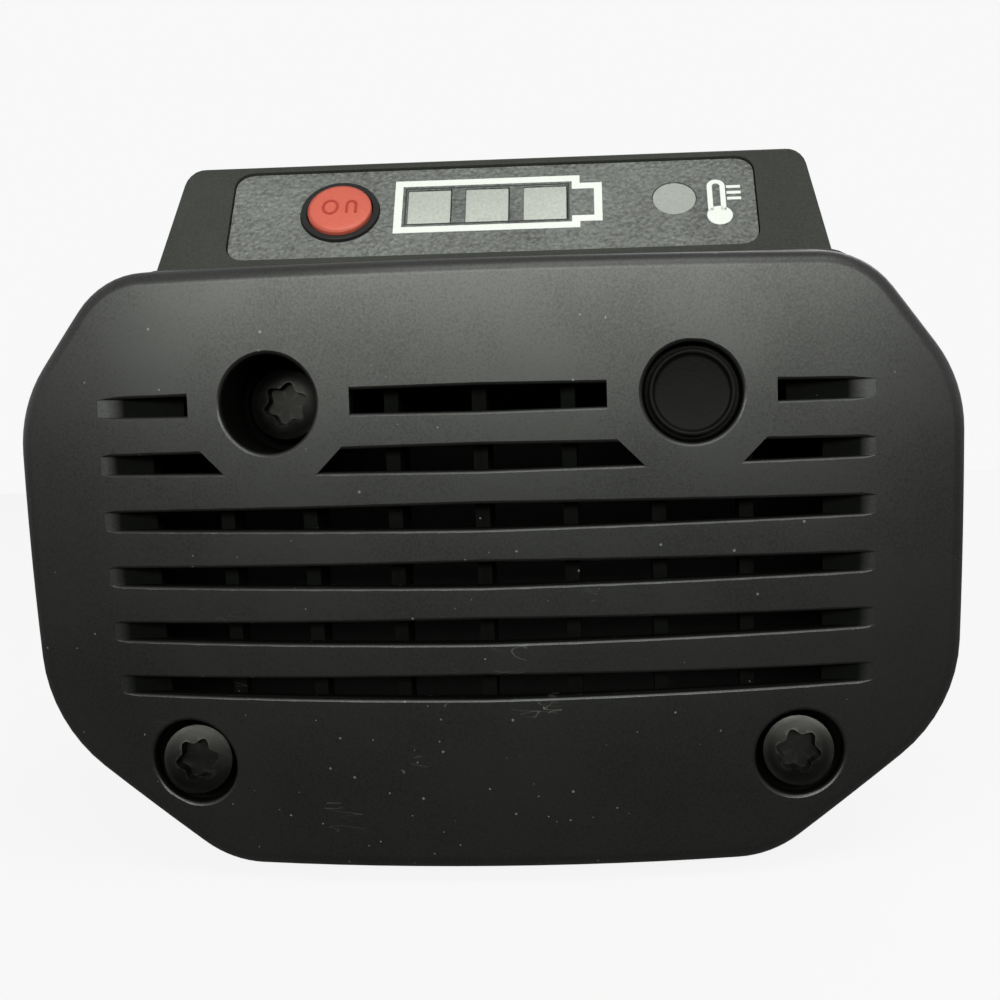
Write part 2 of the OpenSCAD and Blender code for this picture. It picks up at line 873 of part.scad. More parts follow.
// Busbar over pairs of cells; outer is its far face, seat the ends of the cells
module busbar(pairs, outer, seat) {
    inner = outer < seat ? outer + busbar_t : outer - busbar_t;
    pad_1 = outer < seat ? outer + busbar_t / 2 : seat;
    pad_2 = outer < seat ? seat : outer - busbar_t / 2;
    for (pair = pairs) {
        a = is_num(pair[0]) ? cell_xz(pair[0]) : pair[0];
        b = is_num(pair[1]) ? cell_xz(pair[1]) : pair[1];
        reach = busbar_w / 2;
        translate([a[0], 0, a[1]])
            rotate([0, -atan2(b[1] - a[1], b[0] - a[0]), 0])
                block([-reach, min(outer, inner), -reach], [norm(b - a) + reach, max(outer, inner), reach]);
        for (k = [0, 1])
            if (is_num(pair[k]))
                rod_y(cell_xz(pair[k])[0], cell_xz(pair[k])[1], pad_1, pad_2, pad_d);
    }
}
front_bar = cell_y - lip_t - busbar_t;
rear_bar = bay_start + busbar_t;

module series_link_1() {
    color("#b9b7ae")
        placed()
            busbar([[4, 1], [4, 8], [8, 5]], front_bar, cell_y);
}
module series_link_2() {
    color("#b9b7ae")
        placed()
            busbar([[8, 5], [5, 9], [9, 6]], rear_bar, cell_end);
}
module series_link_3() {
    color("#b9b7ae")
        placed()
            busbar([[9, 6], [6, 2], [2, 3]], front_bar, cell_y);
}
module series_link_4() {
    color("#b9b7ae")
        placed()
            busbar([[2, 3], [3, 7], [7, 10]], rear_bar, cell_end);
}
module negative_busbar() {
    color("#b9b7ae")
        placed()
            busbar([[4, 1]], rear_bar, cell_end);
}
module positive_busbar() {
    color("#b9b7ae")
        placed()
            busbar([[10, 7], [10, lead_spot]], front_bar, cell_y);
}

// Black sheet over the front busbars
module front_insulator() {
    color("#121314")
        placed()
            along_y(front_bar - insulator_t, front_bar, case_outline(housing_wall + 2 * holder_gap));
}

module positive_lead() {
    color("#b3261e")
        placed()
            rod_y(lead_spot[0], lead_spot[1], front_bar + busbar_t, board_y, lead_d);
}

module negative_lead() {
    middle = (cell_xz(4) + cell_xz(1)) / 2;
    color("#151515")
        placed()
            rod_y(middle[0], middle[1], rear_bar, board_y, lead_d);
}

module thermistor() {
    color("#c9a227")
        placed() {
            rod_y(bead_spot[0], bead_spot[1], bead_start, bead_start + bead_l, bead_d);
            rod_y(bead_spot[0], bead_spot[1], bead_start + bead_l / 2, board_y, bead_wire);
        }
}

// Cable from the display to the control board: points chosen by hand
cable_d = 2.2;
cable_sides = 8;
cable_u = panel_h / 2;
cable_start = [-20, panel_y + cable_u * sin(panel_lean), case_h + panel_rise + cable_u * cos(panel_lean)];
into_pod = [0, cos(panel_lean), -sin(panel_lean)];
cable_back = display_t - board_top;
cable_route = [
    cable_start + cable_back * into_pod, cable_start + (cable_back + 2) * into_pod,
    [-24, 38, 55.5], [-28.5, 43, 53], [-31, 49, 48.5], [-32, 56, 44.5], [-32, 62, 43.5], [-32, 80, 43.5],
    [-32, board_y, 43.5]
];

function tangent_at(path, k) =
    k == 0 ? unit(path[1] - path[0])
    : k == len(path) - 1 ? unit(path[k] - path[k - 1])
    : unit(unit(path[k + 1] - path[k]) + unit(path[k] - path[k - 1]));

// One unbroken tube along a path; aside is a direction that the path never follows
module tube(path, d, sides, aside) {
    n = len(path);
    points = [for (k = [0 : n - 1])
        let (t = tangent_at(path, k), u = unit(cross(t, aside)), v = cross(t, u))
        each [for (i = [0 : sides - 1]) path[k] + d / 2 * (cos(360 * i / sides) * u + sin(360 * i / sides) * v)]];
    polyhedron(concat([path[0]], points, [path[n - 1]]), [for (f = loft_faces(sides, n)) [f[2], f[1], f[0]]]);
}

module display_cable() {
    color("#202020")
        placed()
            tube(cable_route, cable_d, cable_sides, [1, 0, 0]);
}

// Control board and tool contacts

board_half = 25.5;
board_low = 9;
board_step = 40.5;
ear_half = 34;
ear_top = 46.5;
chip_spots = [[-18, 14], [-18, 33], [19, 14]];
chip_w = 8;
chip_t = 1.2;
carrier_face = pack_depth - 1;
carrier_foot = 1.5;
carrier_foot_t = 1.9;
contact_w = contact_slot_w - 2 * run;
contact_t = 0.5;
contact_l = 6;
contact_set_in = 8;
contact_z = rail_z + contact_set_in;
contact_tip = pack_depth - rail_roof;
contact_pinch = 0.4;

module control_board() {
    color("#2f6b3c")
        placed() {
            difference() {
                along_y(board_y, board_back, [
                    [-board_half, board_low], [board_half, board_low], [board_half, board_step],
                    [ear_half, board_step], [ear_half, ear_top], [-ear_half, ear_top],
                    [-ear_half, board_step], [-board_half, board_step]
                ]);
                for (spot = post_spots)
                    rod_y(spot[0], spot[1], board_y - 1, board_back + 1, pin_d + 2 * slip);
            }
            for (spot = chip_spots)
                block([spot[0] - chip_w / 2, board_back - eps, spot[1] - chip_w / 2],
                    [spot[0] + chip_w / 2, board_back + chip_t, spot[1] + chip_w / 2]);
        }
}

module board_screws() {
    color("#a8a8a8")
        placed()
            for (spot = post_spots) {
                rod_y(spot[0], spot[1], board_back, board_back + pin_head_h, pin_head_d);
                rod_y(spot[0], spot[1], bay_start + slip, board_back + eps, pin_d);
            }
}

function contact_x(k) = (k - 1.5) * contact_pitch;

module contact_carrier() {
    half = carrier_w / 2;
    color("#17181a")
        placed()
            difference() {
                union() {
                    block([-half, board_back, rail_z], [half, carrier_face, rail_z + carrier_l]);
                    block([-half - carrier_foot, board_back, rail_z + carrier_foot],
                        [half + carrier_foot, board_back + carrier_foot_t, rail_z + carrier_l - carrier_foot]);
                }
                for (k = [0 : 3])
                    block([contact_x(k) - contact_slot_w / 2, board_back - 1, rail_z - 1],
                        [contact_x(k) + contact_slot_w / 2, pack_depth, rail_z + contact_slot_l]);
            }
}

// Forked spring contact that grips a blade
module contact(k) {
    x = contact_x(k);
    half = contact_w / 2;
    root = board_back + 3;
    pinch_y = contact_tip - 3;
    right = [
        [half, board_back], [half, root], [contact_pinch + contact_t, pinch_y], [half, contact_tip],
        [half - contact_t, contact_tip], [contact_pinch, pinch_y], [half - contact_t, root]
    ];
    left = [for (i = [len(right) - 1 : -1 : 0]) [-right[i][0], right[i][1]]];
    translate([x, 0, 0])
        along_z(contact_z, contact_z + contact_l, concat(right, left));
}

module positive_contact() {
    color("#d9c36a")
        placed()
            contact(3);
}
module negative_contact() {
    color("#d9c36a")
        placed()
            contact(0);
}
module signal_contacts() {
    color("#d9c36a")
        placed() {
            contact(1);
            contact(2);
        }
}

// Catches and their springs

bay_x = case_w / 2 - bay_inset;
bay_mid = (bay_start + busbar_t + wall_in) / 2;
pad_low_y = wall_in - 3 * run - pad_l;
catch_gap = 0.15;
flange_t = 1.5;
flange_over = 1.2;
flange_in = bay_x - catch_gap - flange_t;
arm_y2 = wall_in - run;
arm_y1 = arm_y2 - 3.2;
riser_t = 3.5;
riser_x = neck_w / 2 - neck_wall - 1.3;
tooth_proud = 3;
tooth_t = 3;
tooth_y = case_depth + 1.5;
spring_l = 9;
stop_t = 1.6;
spring_gap = 0.05;
stop_x = flange_in - spring_l - 2 * spring_gap;
spring_rise = 4.5;
spring_z = pad_z + spring_rise;
pad_r = 2;
pad_dish_r = 30;
pad_dish = 0.6;

module release_latch() {
    pad_out = case_w / 2 + pad_rise;
    along_z(pad_z - catch_h, pad_z, [
        [flange_in + flange_t / 2, arm_y1], [flange_in + flange_t / 2, arm_y2], [riser_x, arm_y2],
        [riser_x, tooth_y], [neck_w / 2 + tooth_proud, tooth_y], [neck_w / 2 + tooth_proud, tooth_y + tooth_t],
        [riser_x - riser_t, tooth_y + tooth_t], [riser_x - riser_t, arm_y1]
    ]);
    block([flange_in, pad_low_y, pad_z - pad_h / 2 - flange_over],
        [flange_in + flange_t, pad_low_y + pad_l, pad_z + pad_h / 2 + flange_over]);
    difference() {
        block([flange_in + flange_t / 2, pad_low_y, pad_z - pad_h / 2], [pad_out, pad_low_y + pad_l, pad_z + pad_h / 2]);
        translate([pad_out + pad_dish_r - pad_dish, pad_low_y - 1, pad_z])
            rotate([-90, 0, 0])
                cylinder(r = pad_dish_r, h = pad_l + 2, $fn = 120);
    }
}

module release_latch_right() {
    color("#b02a22")
        placed()
            release_latch();
}
module release_latch_left() {
    color("#b02a22")
        placed()
            mirror([1, 0, 0])
                release_latch();
}

rings_per_turn = 8;
wire_sides = 6;
coil_rise = (spring_l - wire_d) / coil_turns;
coil_path = [for (k = [0 : coil_turns * rings_per_turn])
    let (a = 360 * k / rings_per_turn)
    [stop_x + spring_gap + wire_d / 2 + coil_rise * k / rings_per_turn,
        bay_mid + coil_d / 2 * cos(a), spring_z + coil_d / 2 * sin(a)]];
// Least gap between a spring's neighbouring curls, measured on the path's points
coil_gap = min([for (k = [0 : (coil_turns - 1) * rings_per_turn])
    norm(coil_path[k + rings_per_turn] - coil_path[k])]) - wire_d;

module latch_spring() {
    tube(coil_path, wire_d, wire_sides, [1, 0, 0]);
}
module latch_spring_right() {
    color("#c4c6c8")
        placed()
            latch_spring();
}
module latch_spring_left() {
    color("#c4c6c8")
        placed()
            mirror([1, 0, 0])
                latch_spring();
}

cell_names = [for (i = [1 : cell_count]) str("cell_", i)];
echo(least_gap_between_spring_curls = coil_gap);

base_cover();
main_housing();
cover_screws();
seal_plug();
display_panel();
button_seal();
on_button();
charge_windows();
temperature_window();
display_board();
button_switch();
charge_leds();
temperature_led();
display_cable();
front_cell_holder();
rear_cell_holder();
negative_busbar();
series_link_1();
series_link_2();
series_link_3();
series_link_4();
positive_busbar();
front_insulator();
positive_lead();
negative_lead();
thermistor();
control_board();
board_screws();
contact_carrier();
positive_contact();
negative_contact();
signal_contacts();
release_latch_left();
release_latch_right();
latch_spring_left();
latch_spring_right();
for (i = [1 : cell_count])
    cell(i);
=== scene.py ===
# Slide-on battery pack for a cordless tool: modelled pieces, finishes, light and camera.
import bmesh
import bpy
from math import atan2, cos, pi, radians, sin, sqrt
from mathutils import Matrix, Vector


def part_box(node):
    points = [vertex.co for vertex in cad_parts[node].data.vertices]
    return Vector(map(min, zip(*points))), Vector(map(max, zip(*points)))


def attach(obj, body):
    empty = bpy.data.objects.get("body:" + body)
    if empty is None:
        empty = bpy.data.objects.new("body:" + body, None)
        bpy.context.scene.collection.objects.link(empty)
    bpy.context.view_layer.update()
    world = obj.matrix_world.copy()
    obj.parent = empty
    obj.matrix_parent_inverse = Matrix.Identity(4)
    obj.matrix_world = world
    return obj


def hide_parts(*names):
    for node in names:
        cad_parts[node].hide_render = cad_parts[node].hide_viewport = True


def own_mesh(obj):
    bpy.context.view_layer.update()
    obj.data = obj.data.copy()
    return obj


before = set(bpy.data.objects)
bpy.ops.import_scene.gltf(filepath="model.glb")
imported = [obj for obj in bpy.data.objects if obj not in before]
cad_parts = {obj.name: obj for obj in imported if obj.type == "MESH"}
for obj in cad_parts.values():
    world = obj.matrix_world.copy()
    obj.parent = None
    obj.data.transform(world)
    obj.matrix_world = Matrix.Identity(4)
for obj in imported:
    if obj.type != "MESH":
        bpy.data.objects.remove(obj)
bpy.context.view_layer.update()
scene = bpy.context.scene
mm = 0.001
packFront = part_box("base_cover")[0].y / mm  # depth of the vented face's highest point, in mm
print("frame loaded:", len(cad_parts), "nodes")


# Node tools

# Puts a number on a socket or links another node's output to it
def feed(tree, socket, value):
    if isinstance(value, bpy.types.NodeSocket):
        tree.links.new(value, socket)
    else:
        socket.default_value = value


def fill(tree, made, values):
    for key, value in values.items():
        feed(tree, made.inputs[key], value)
    return made


def node(tree, kind, values=None, **settings):
    made = tree.nodes.new(kind)
    for key, value in settings.items():
        setattr(made, key, value)
    return fill(tree, made, values or {})


def calc(tree, operation, first, second=None, clamp=False):
    made = node(tree, "ShaderNodeMath", {0: first}, operation=operation, use_clamp=clamp)
    if second is not None:
        feed(tree, made.inputs[1], second)
    return made.outputs[0]


def mixColour(tree, factor, first, second):
    return node(tree, "ShaderNodeMix", {0: factor, 6: first, 7: second}, data_type="RGBA").outputs[2]


def ramp(tree, value, low, high):
    made = node(tree, "ShaderNodeMapRange", {"Value": value, "From Min": low, "From Max": high}, clamp=True)
    return made.outputs["Result"]


# Node group of either kind, with its input and output nodes
def newGroup(name, kind, inputs, outputs):
    group = bpy.data.node_groups.new(name, kind)
    for label, sort, value in inputs:
        socket = group.interface.new_socket(label, in_out="INPUT", socket_type="NodeSocket" + sort)
        if value is not None:
            socket.default_value = value
    for label, sort in outputs:
        group.interface.new_socket(label, in_out="OUTPUT", socket_type="NodeSocket" + sort)
    return group, group.nodes.new("NodeGroupInput"), group.nodes.new("NodeGroupOutput")


# Shader groups shared by several finishes

grainShares = {"fine": 0.7, "pits": 0.5, "pitScale": 0.8, "mottleFine": 0.6, "mottleBroad": 0.4}


# Fine grain of a spark-eroded mould: a height for the bump and a mask for colour and roughness
def mouldGrainGroup():
    group, start, end = newGroup(
        "mouldGrain", "ShaderNodeTree",
        [("Vector", "Vector", (0, 0, 0)), ("Grain size mm", "Float", 0.25)],
        [("Height", "Float"), ("Mottle", "Float")])
    g = grainShares
    place = start.outputs["Vector"]
    scale = calc(group, "DIVIDE", 1 / mm, start.outputs["Grain size mm"])
    fine = node(group, "ShaderNodeTexNoise", {"Vector": place, "Scale": scale, "Detail": 3.0, "Roughness": 0.62})
    pitScale = calc(group, "MULTIPLY", scale, g["pitScale"])
    pits = node(group, "ShaderNodeTexVoronoi", {"Vector": place, "Scale": pitScale}, feature="F1")
    broad = node(group, "ShaderNodeTexNoise", {"Vector": place, "Scale": 90.0, "Detail": 4.0})
    height = calc(group, "ADD", calc(group, "MULTIPLY", fine.outputs[0], g["fine"]),
                  calc(group, "MULTIPLY", pits.outputs["Distance"], g["pits"]))
    mottle = calc(group, "ADD", calc(group, "MULTIPLY", fine.outputs[0], g["mottleFine"]),
                  calc(group, "MULTIPLY", broad.outputs[0], g["mottleBroad"]))
    fill(group, end, {"Height": height, "Mottle": mottle})
    return group


# Share of specks left out, its fall at the rubbed patch, and the directions and widths of rubbing
markSizes = {"leftOut": 0.88, "patchFall": 0.7, "lines": ((17, 0.003), (-49, 0.0025), (38, 0.0025)),
             "stretch": (90, 1, 420), "breakScale": 210.0, "breakFrom": 0.67}


# Pale dust specks, thickest at one rubbed patch, and short hairlines round it
def handlingGroup():
    group, start, end = newGroup(
        "handlingMarks", "ShaderNodeTree",
        [("Vector", "Vector", (0, 0, 0)), ("Speck spacing mm", "Float", 2.6), ("Speck size", "Float", 0.05),
         ("Patch", "Vector", (0, 0, 0)), ("Patch reach", "Float", 0.02)],
        [("Specks", "Float"), ("Hairlines", "Float")])
    m = markSizes
    place = start.outputs["Vector"]
    apart = node(group, "ShaderNodeVectorMath", {0: place, 1: start.outputs["Patch"]}, operation="DISTANCE")
    far = calc(group, "DIVIDE", apart.outputs["Value"], start.outputs["Patch reach"])
    near = calc(group, "SUBTRACT", 1.0, far, True)
    scale = calc(group, "DIVIDE", 1 / mm, start.outputs["Speck spacing mm"])
    cells = node(group, "ShaderNodeTexVoronoi", {"Vector": place, "Scale": scale, "Randomness": 1.0}, feature="F1")
    pick = node(group, "ShaderNodeSeparateColor", {0: cells.outputs["Color"]})
    size = calc(group, "MULTIPLY", start.outputs["Speck size"], pick.outputs[0])
    inside = calc(group, "LESS_THAN", cells.outputs["Distance"], size)
    leftOut = calc(group, "SUBTRACT", m["leftOut"], calc(group, "MULTIPLY", near, m["patchFall"]))
    specks = calc(group, "MULTIPLY", inside, calc(group, "GREATER_THAN", pick.outputs[1], leftOut))
    lines = None
    for angle, width in m["lines"]:
        turned = node(group, "ShaderNodeMapping",
                      {"Vector": place, "Rotation": (0, radians(angle), 0), "Scale": m["stretch"]})
        streak = node(group, "ShaderNodeTexNoise",
                      {"Vector": turned.outputs[0], "Scale": 1.0, "Detail": 1.0, "Distortion": 0.4})
        away = calc(group, "ABSOLUTE", calc(group, "SUBTRACT", streak.outputs[0], 0.5))
        line = calc(group, "LESS_THAN", away, width)
        lines = line if lines is None else calc(group, "MAXIMUM", lines, line)
    breaks = node(group, "ShaderNodeTexNoise", {"Vector": place, "Scale": m["breakScale"], "Detail": 2.0})
    shown = calc(group, "MULTIPLY", lines, calc(group, "GREATER_THAN", breaks.outputs[0], m["breakFrom"]))
    fill(group, end, {"Specks": specks, "Hairlines": calc(group, "MULTIPLY", shown, near)})
    return group


# Rubbed edges, read from the attribute that edgeAttribute() writes, broken up by noise
def edgeRubGroup():
    group, start, end = newGroup(
        "edgeRub", "ShaderNodeTree",
        [("Vector", "Vector", (0, 0, 0)), ("Amount", "Float", 0.5)],
        [("Mask", "Float")])
    edge = node(group, "ShaderNodeAttribute", attribute_name="edgeRub")
    patch = node(group, "ShaderNodeTexNoise",
                 {"Vector": start.outputs["Vector"], "Scale": 260.0, "Detail": 5.0, "Roughness": 0.7})
    worn = calc(group, "MULTIPLY", edge.outputs["Fac"], ramp(group, patch.outputs[0], 0.35, 0.7))
    fill(group, end, {"Mask": calc(group, "MULTIPLY", worn, start.outputs["Amount"], True)})
    return group


mouldGrain = mouldGrainGroup()
handlingMarks = handlingGroup()
edgeRub = edgeRubGroup()


# Materials

def placeGroup(tree, group, vector, values):
    return node(tree, "ShaderNodeGroup", {"Vector": vector, **values}, node_tree=group)


def newMaterial(name, colour, roughness, metallic=0.0, specular=0.5):
    material = bpy.data.materials.new(name)
    material.use_nodes = True
    tree = material.node_tree
    shader = fill(tree, tree.nodes["Principled BSDF"],
                  {"Base Color": (*colour, 1.0), "Roughness": roughness, "Metallic": metallic,
                   "Specular IOR Level": specular})
    material.diffuse_color = (*colour, 1.0)
    coords = node(tree, "ShaderNodeTexCoord").outputs["Object"]
    return material, tree, shader, coords


def shaded(colour, factor, lift=0.0):
    return tuple(min(1.0, c * factor + lift) for c in colour) + (1.0,)


handled = {"hairlines": 0.35, "hairlineColour": (0.20, 0.20, 0.185, 1),
           "specks": 0.5, "speckColour": (0.27, 0.275, 0.25, 1)}
rubbed = {"plastic": (1.8, 0.012), "metal": (2, 0.05), "smoother": 0.08}


# Sheen of a moulded face, uneven with the grain, that fades between two depths into the recesses: the fade paints
# shade into slots, wells and ribs
def addSheen(tree, shader, mottle, sheen):
    depth = node(tree, "ShaderNodeAttribute", attribute_name="recess").outputs["Fac"]
    recessShade = ramp(tree, depth, sheen["recessShadeFrom"], sheen["recessShadeTo"])
    uneven = calc(tree, "ADD", sheen["least"], calc(tree, "MULTIPLY", mottle, sheen["swing"]))
    weight = calc(tree, "MULTIPLY", uneven, sheen["weight"])
    weight = calc(tree, "MULTIPLY", weight, calc(tree, "SUBTRACT", 1.0, recessShade), True)
    fill(tree, shader, {"Coat Weight": weight, "Coat Roughness": sheen["roughness"], "Coat IOR": sheen["index"]})


# Moulded plastic or rubber: grain, mottling, rubbed edges, and dust and hairlines where marks are given
def mouldedFinish(name, colour, roughness=0.55, grain=0.25, bump=0.12, mottle=0.35, rub=0.3, specular=0.5,
                  marks=None, spread=0.16, sheen=None):
    material, tree, shader, coords = newMaterial(name, colour, roughness, 0.0, specular)
    skin = placeGroup(tree, mouldGrain, coords, {"Grain size mm": grain})
    worn = placeGroup(tree, edgeRub, coords, {"Amount": rub}).outputs["Mask"]
    shade = mixColour(tree, ramp(tree, skin.outputs["Mottle"], 0.3, 0.7),
                      shaded(colour, 1 - mottle), shaded(colour, 1 + mottle))
    shade = mixColour(tree, worn, shade, shaded(colour, *rubbed["plastic"]))
    if marks:
        seen = placeGroup(tree, handlingMarks, coords, marks)
        hairlines = calc(tree, "MULTIPLY", seen.outputs["Hairlines"], handled["hairlines"])
        shade = mixColour(tree, hairlines, shade, handled["hairlineColour"])
        specks = calc(tree, "MULTIPLY", seen.outputs["Specks"], handled["specks"])
        shade = mixColour(tree, specks, shade, handled["speckColour"])
    rough = calc(tree, "ADD", roughness - spread / 2, calc(tree, "MULTIPLY", skin.outputs["Mottle"], spread))
    rough = calc(tree, "SUBTRACT", rough, calc(tree, "MULTIPLY", worn, rubbed["smoother"]), True)
    if sheen:
        addSheen(tree, shader, skin.outputs["Mottle"], sheen)
    relief = node(tree, "ShaderNodeBump",
                  {"Height": skin.outputs["Height"], "Strength": bump, "Distance": grain * mm})
    fill(tree, shader, {"Base Color": shade, "Roughness": rough, "Normal": relief.outputs[0]})
    return material


# Metal with fine drawn lines along one axis
def metalFinish(name, colour, roughness=0.35, stretch=(400, 6000, 400), spread=0.15, swing=0.25, rub=0.6):
    material, tree, shader, coords = newMaterial(name, colour, roughness, 1.0)
    turned = node(tree, "ShaderNodeMapping", {"Vector": coords, "Scale": stretch})
    drawn = node(tree, "ShaderNodeTexNoise", {"Vector": turned.outputs[0], "Scale": 1.0, "Detail": 4.0}).outputs[0]
    worn = placeGroup(tree, edgeRub, coords, {"Amount": rub}).outputs["Mask"]
    shade = mixColour(tree, drawn, shaded(colour, 1 - swing), shaded(colour, 1 + swing))
    shade = mixColour(tree, worn, shade, shaded(colour, *rubbed["metal"]))
    rough = calc(tree, "ADD", roughness - spread, calc(tree, "MULTIPLY", drawn, 2 * spread), True)
    fill(tree, shader, {"Base Color": shade, "Roughness": rough})
    return material


# Smooth moulded plastic with faint flow marks
def glossFinish(name, colour, roughness=0.25, swing=0.12, scale=300.0, spread=0.1):
    material, tree, shader, coords = newMaterial(name, colour, roughness)
    flow = node(tree, "ShaderNodeTexNoise", {"Vector": coords, "Scale": scale, "Detail": 3.0}).outputs[0]
    shade = mixColour(tree, flow, shaded(colour, 1 - swing), shaded(colour, 1 + swing))
    rough = calc(tree, "ADD", roughness - spread / 2, calc(tree, "MULTIPLY", flow, spread), True)
    fill(tree, shader, {"Base Color": shade, "Roughness": rough})
    return material


coverMarks = {"Speck spacing mm": 1.0, "Speck size": 0.135,
              "Patch": (-0.004, packFront * mm, 0.010), "Patch reach": 0.034}
# The last two depths, in mm, are where the sheen fades out: painted shade in slots, wells and ribs
coverSheen = {"weight": 0.94, "least": 0.2, "swing": 1.6, "roughness": 0.39, "index": 1.72,
              "recessShadeFrom": 0.3, "recessShadeTo": 0.8}
coverFinish = mouldedFinish("coverPlastic", (0.0043, 0.0048, 0.0038), 0.7, grain=0.2, bump=0.1, rub=0.12,
                            specular=0.02, marks=coverMarks, spread=0.08, sheen=coverSheen)
housingFinish = mouldedFinish("housingPlastic", (0.042, 0.0437, 0.0403), 0.60, rub=0.15, specular=0.18)
panelFinish = mouldedFinish("panelPlastic", (0.147, 0.152, 0.147), 0.52, grain=0.42, bump=0.8, mottle=0.75,
                            rub=0.15, specular=0.6)
sealFinish = mouldedFinish("sealRubber", (0.0115, 0.0115, 0.012), 0.5, grain=0.2, bump=0.06, rub=0.15, specular=0.3)
buttonFinish = mouldedFinish("buttonRed", (0.64, 0.125, 0.085), 0.45, grain=0.3, bump=0.05, mottle=0.1, rub=0.1)
# Letters in a darker red than the button: painted shade of their relief
shadedLetterFinish = mouldedFinish("buttonLetters", (0.43, 0.047, 0.027), 0.4, grain=0.2, bump=0.04, mottle=0.15, rub=0.0)
plugFinish = mouldedFinish("plugRubber", (0.0036, 0.0036, 0.0033), 0.45, grain=0.3, bump=0.04, specular=0.08)
latchFinish = mouldedFinish("latchPlastic", (0.034, 0.0355, 0.034), 0.5, specular=0.25)
holderFinish = mouldedFinish("holderPlastic", (0.045, 0.048, 0.052), 0.6, grain=0.4, bump=0.1, rub=0.2)
carrierFinish = mouldedFinish("carrierPlastic", (0.018, 0.019, 0.021), 0.5, grain=0.3, bump=0.1)
switchFinish = mouldedFinish("switchBlack", (0.02, 0.02, 0.021), 0.5, grain=0.2)
cableFinish = mouldedFinish("cableJacket", (0.012, 0.012, 0.013), 0.55, grain=0.3, rub=0.0)
insulatorFinish = mouldedFinish("insulatorSheet", (0.006, 0.006, 0.006), 0.7, grain=0.5, bump=0.1, rub=0.0,
                                specular=0.2)
leadFinish = mouldedFinish("leadJacket", (0.45, 0.02, 0.015), 0.45, grain=0.3, mottle=0.1, rub=0.0)
returnFinish = mouldedFinish("returnJacket", (0.012, 0.012, 0.013), 0.45, grain=0.3, rub=0.0)
mattFace = {"grain": 0.3, "rub": 0.0, "specular": 0.3}
windowFinish = mouldedFinish("windowDiffuser", (0.515, 0.53, 0.50), 0.45, bump=0.1, mottle=0.2, **mattFace)
lampFinish = mouldedFinish("lampDiffuser", (0.39, 0.402, 0.388), 0.45, bump=0.1, mottle=0.15, **mattFace)
printFinish = mouldedFinish("whitePrint", (0.88, 0.89, 0.87), 0.6, bump=0.05, mottle=0.05, **mattFace)
linePrint = mouldedFinish("darkPrint", (0.050, 0.052, 0.052), 0.6, bump=0.05, mottle=0.2, **mattFace)
boardFinish = glossFinish("boardMask", (0.02, 0.13, 0.045), 0.3, 0.2)
ledFinish = glossFinish("ledResin", (0.72, 0.70, 0.55))
sleeveFinish = glossFinish("cellSleeve", (0.06, 0.20, 0.25), 0.3)
beadFinish = glossFinish("beadResin", (0.45, 0.28, 0.04))
screwFinish = metalFinish("screwBlackOxide", (0.021, 0.0207, 0.0195), 0.36)
nickelFinish = metalFinish("nickelStrip", (0.62, 0.60, 0.56), 0.32)
pinFinish = metalFinish("pinSteel", (0.55, 0.55, 0.55), 0.35)
brassFinish = metalFinish("contactAlloy", (0.72, 0.55, 0.25), 0.3)
springFinish = metalFinish("springWire", (0.55, 0.56, 0.57), 0.3)
print("finishes built:", len(bpy.data.materials))


# Mesh tools

# Points are in mm, and a fourth number is the share of the crown that the point takes
def meshObject(name, points, faces):
    mesh = bpy.data.meshes.new(name)
    mesh.from_pydata([tuple(c * mm for c in p[:3]) for p in points], [], faces)
    made = bpy.data.objects.new(name, mesh)
    scene.collection.objects.link(made)
    work = bmesh.new()
    work.from_mesh(mesh)
    bmesh.ops.recalc_face_normals(work, faces=work.faces)
    work.to_mesh(mesh)
    work.free()
    if len(points[0]) == 4:
        pointValues(mesh, "crownShare", [p[3] for p in points])
    return made


def pointValues(mesh, name, values):
    layer = mesh.attributes.new(name, "FLOAT", "POINT")
    layer.data.foreach_set("value", values)


def emptyMesh(name, points=()):
    made = bpy.data.objects.new(name, bpy.data.meshes.new(name))
    made.data.from_pydata([tuple(c * mm for c in p) for p in points], [], [])
    scene.collection.objects.link(made)
    return made


# Points of a circle, anticlockwise, starting on its right
def circle(x, z, radius, count):
    turns = [2 * pi * k / count for k in range(count)]
    return [(x + radius * cos(turn), z + radius * sin(turn)) for turn in turns]


# Solid through rings of equal length, each end closed round its middle point
def loft(name, rings):
    count = len(rings[0])
    width = len(rings[0][0])
    points = [p for ring in rings for p in ring]
    faces = []
    for k in range(len(rings) - 1):
        for i in range(count):
            j = (i + 1) % count
            faces.append((k * count + i, k * count + j, (k + 1) * count + j, (k + 1) * count + i))
    for base, ring in ((0, rings[0]), ((len(rings) - 1) * count, rings[-1])):
        points.append(tuple(sum(p[axis] for p in ring) / count for axis in range(width)))
        tip = len(points) - 1
        faces.extend((base + i, base + (i + 1) % count, tip) for i in range(count))
    return meshObject(name, points, faces)


# Solid of revolution about a line along Y, from depths and radii
def lathe(name, x, z, profile, count):
    return loft(name, [[(a, y, b) for a, b in circle(x, z, radius, count)] for y, radius in profile])


def bake(thing):
    graph = bpy.context.evaluated_depsgraph_get()
    graph.update()
    mesh = bpy.data.meshes.new_from_object(thing.evaluated_get(graph))
    thing.modifiers.clear()
    old = thing.data
    thing.data = mesh
    mesh.name = thing.name
    bpy.data.meshes.remove(old)
    return thing


def combine(target, others, operation):
    for other in others:
        step = target.modifiers.new("combine", "BOOLEAN")
        step.operation = operation
        step.solver = "MANIFOLD"
        step.object = other
        bake(target)
        bpy.data.objects.remove(other)
    return target


def mergeClose(thing, distance=0.002, flat=0.4):
    work = bmesh.new()
    work.from_mesh(thing.data)
    bmesh.ops.remove_doubles(work, verts=work.verts, dist=distance * mm)
    bmesh.ops.dissolve_limit(work, angle_limit=radians(flat), verts=work.verts, edges=work.edges)
    work.to_mesh(thing.data)
    work.free()


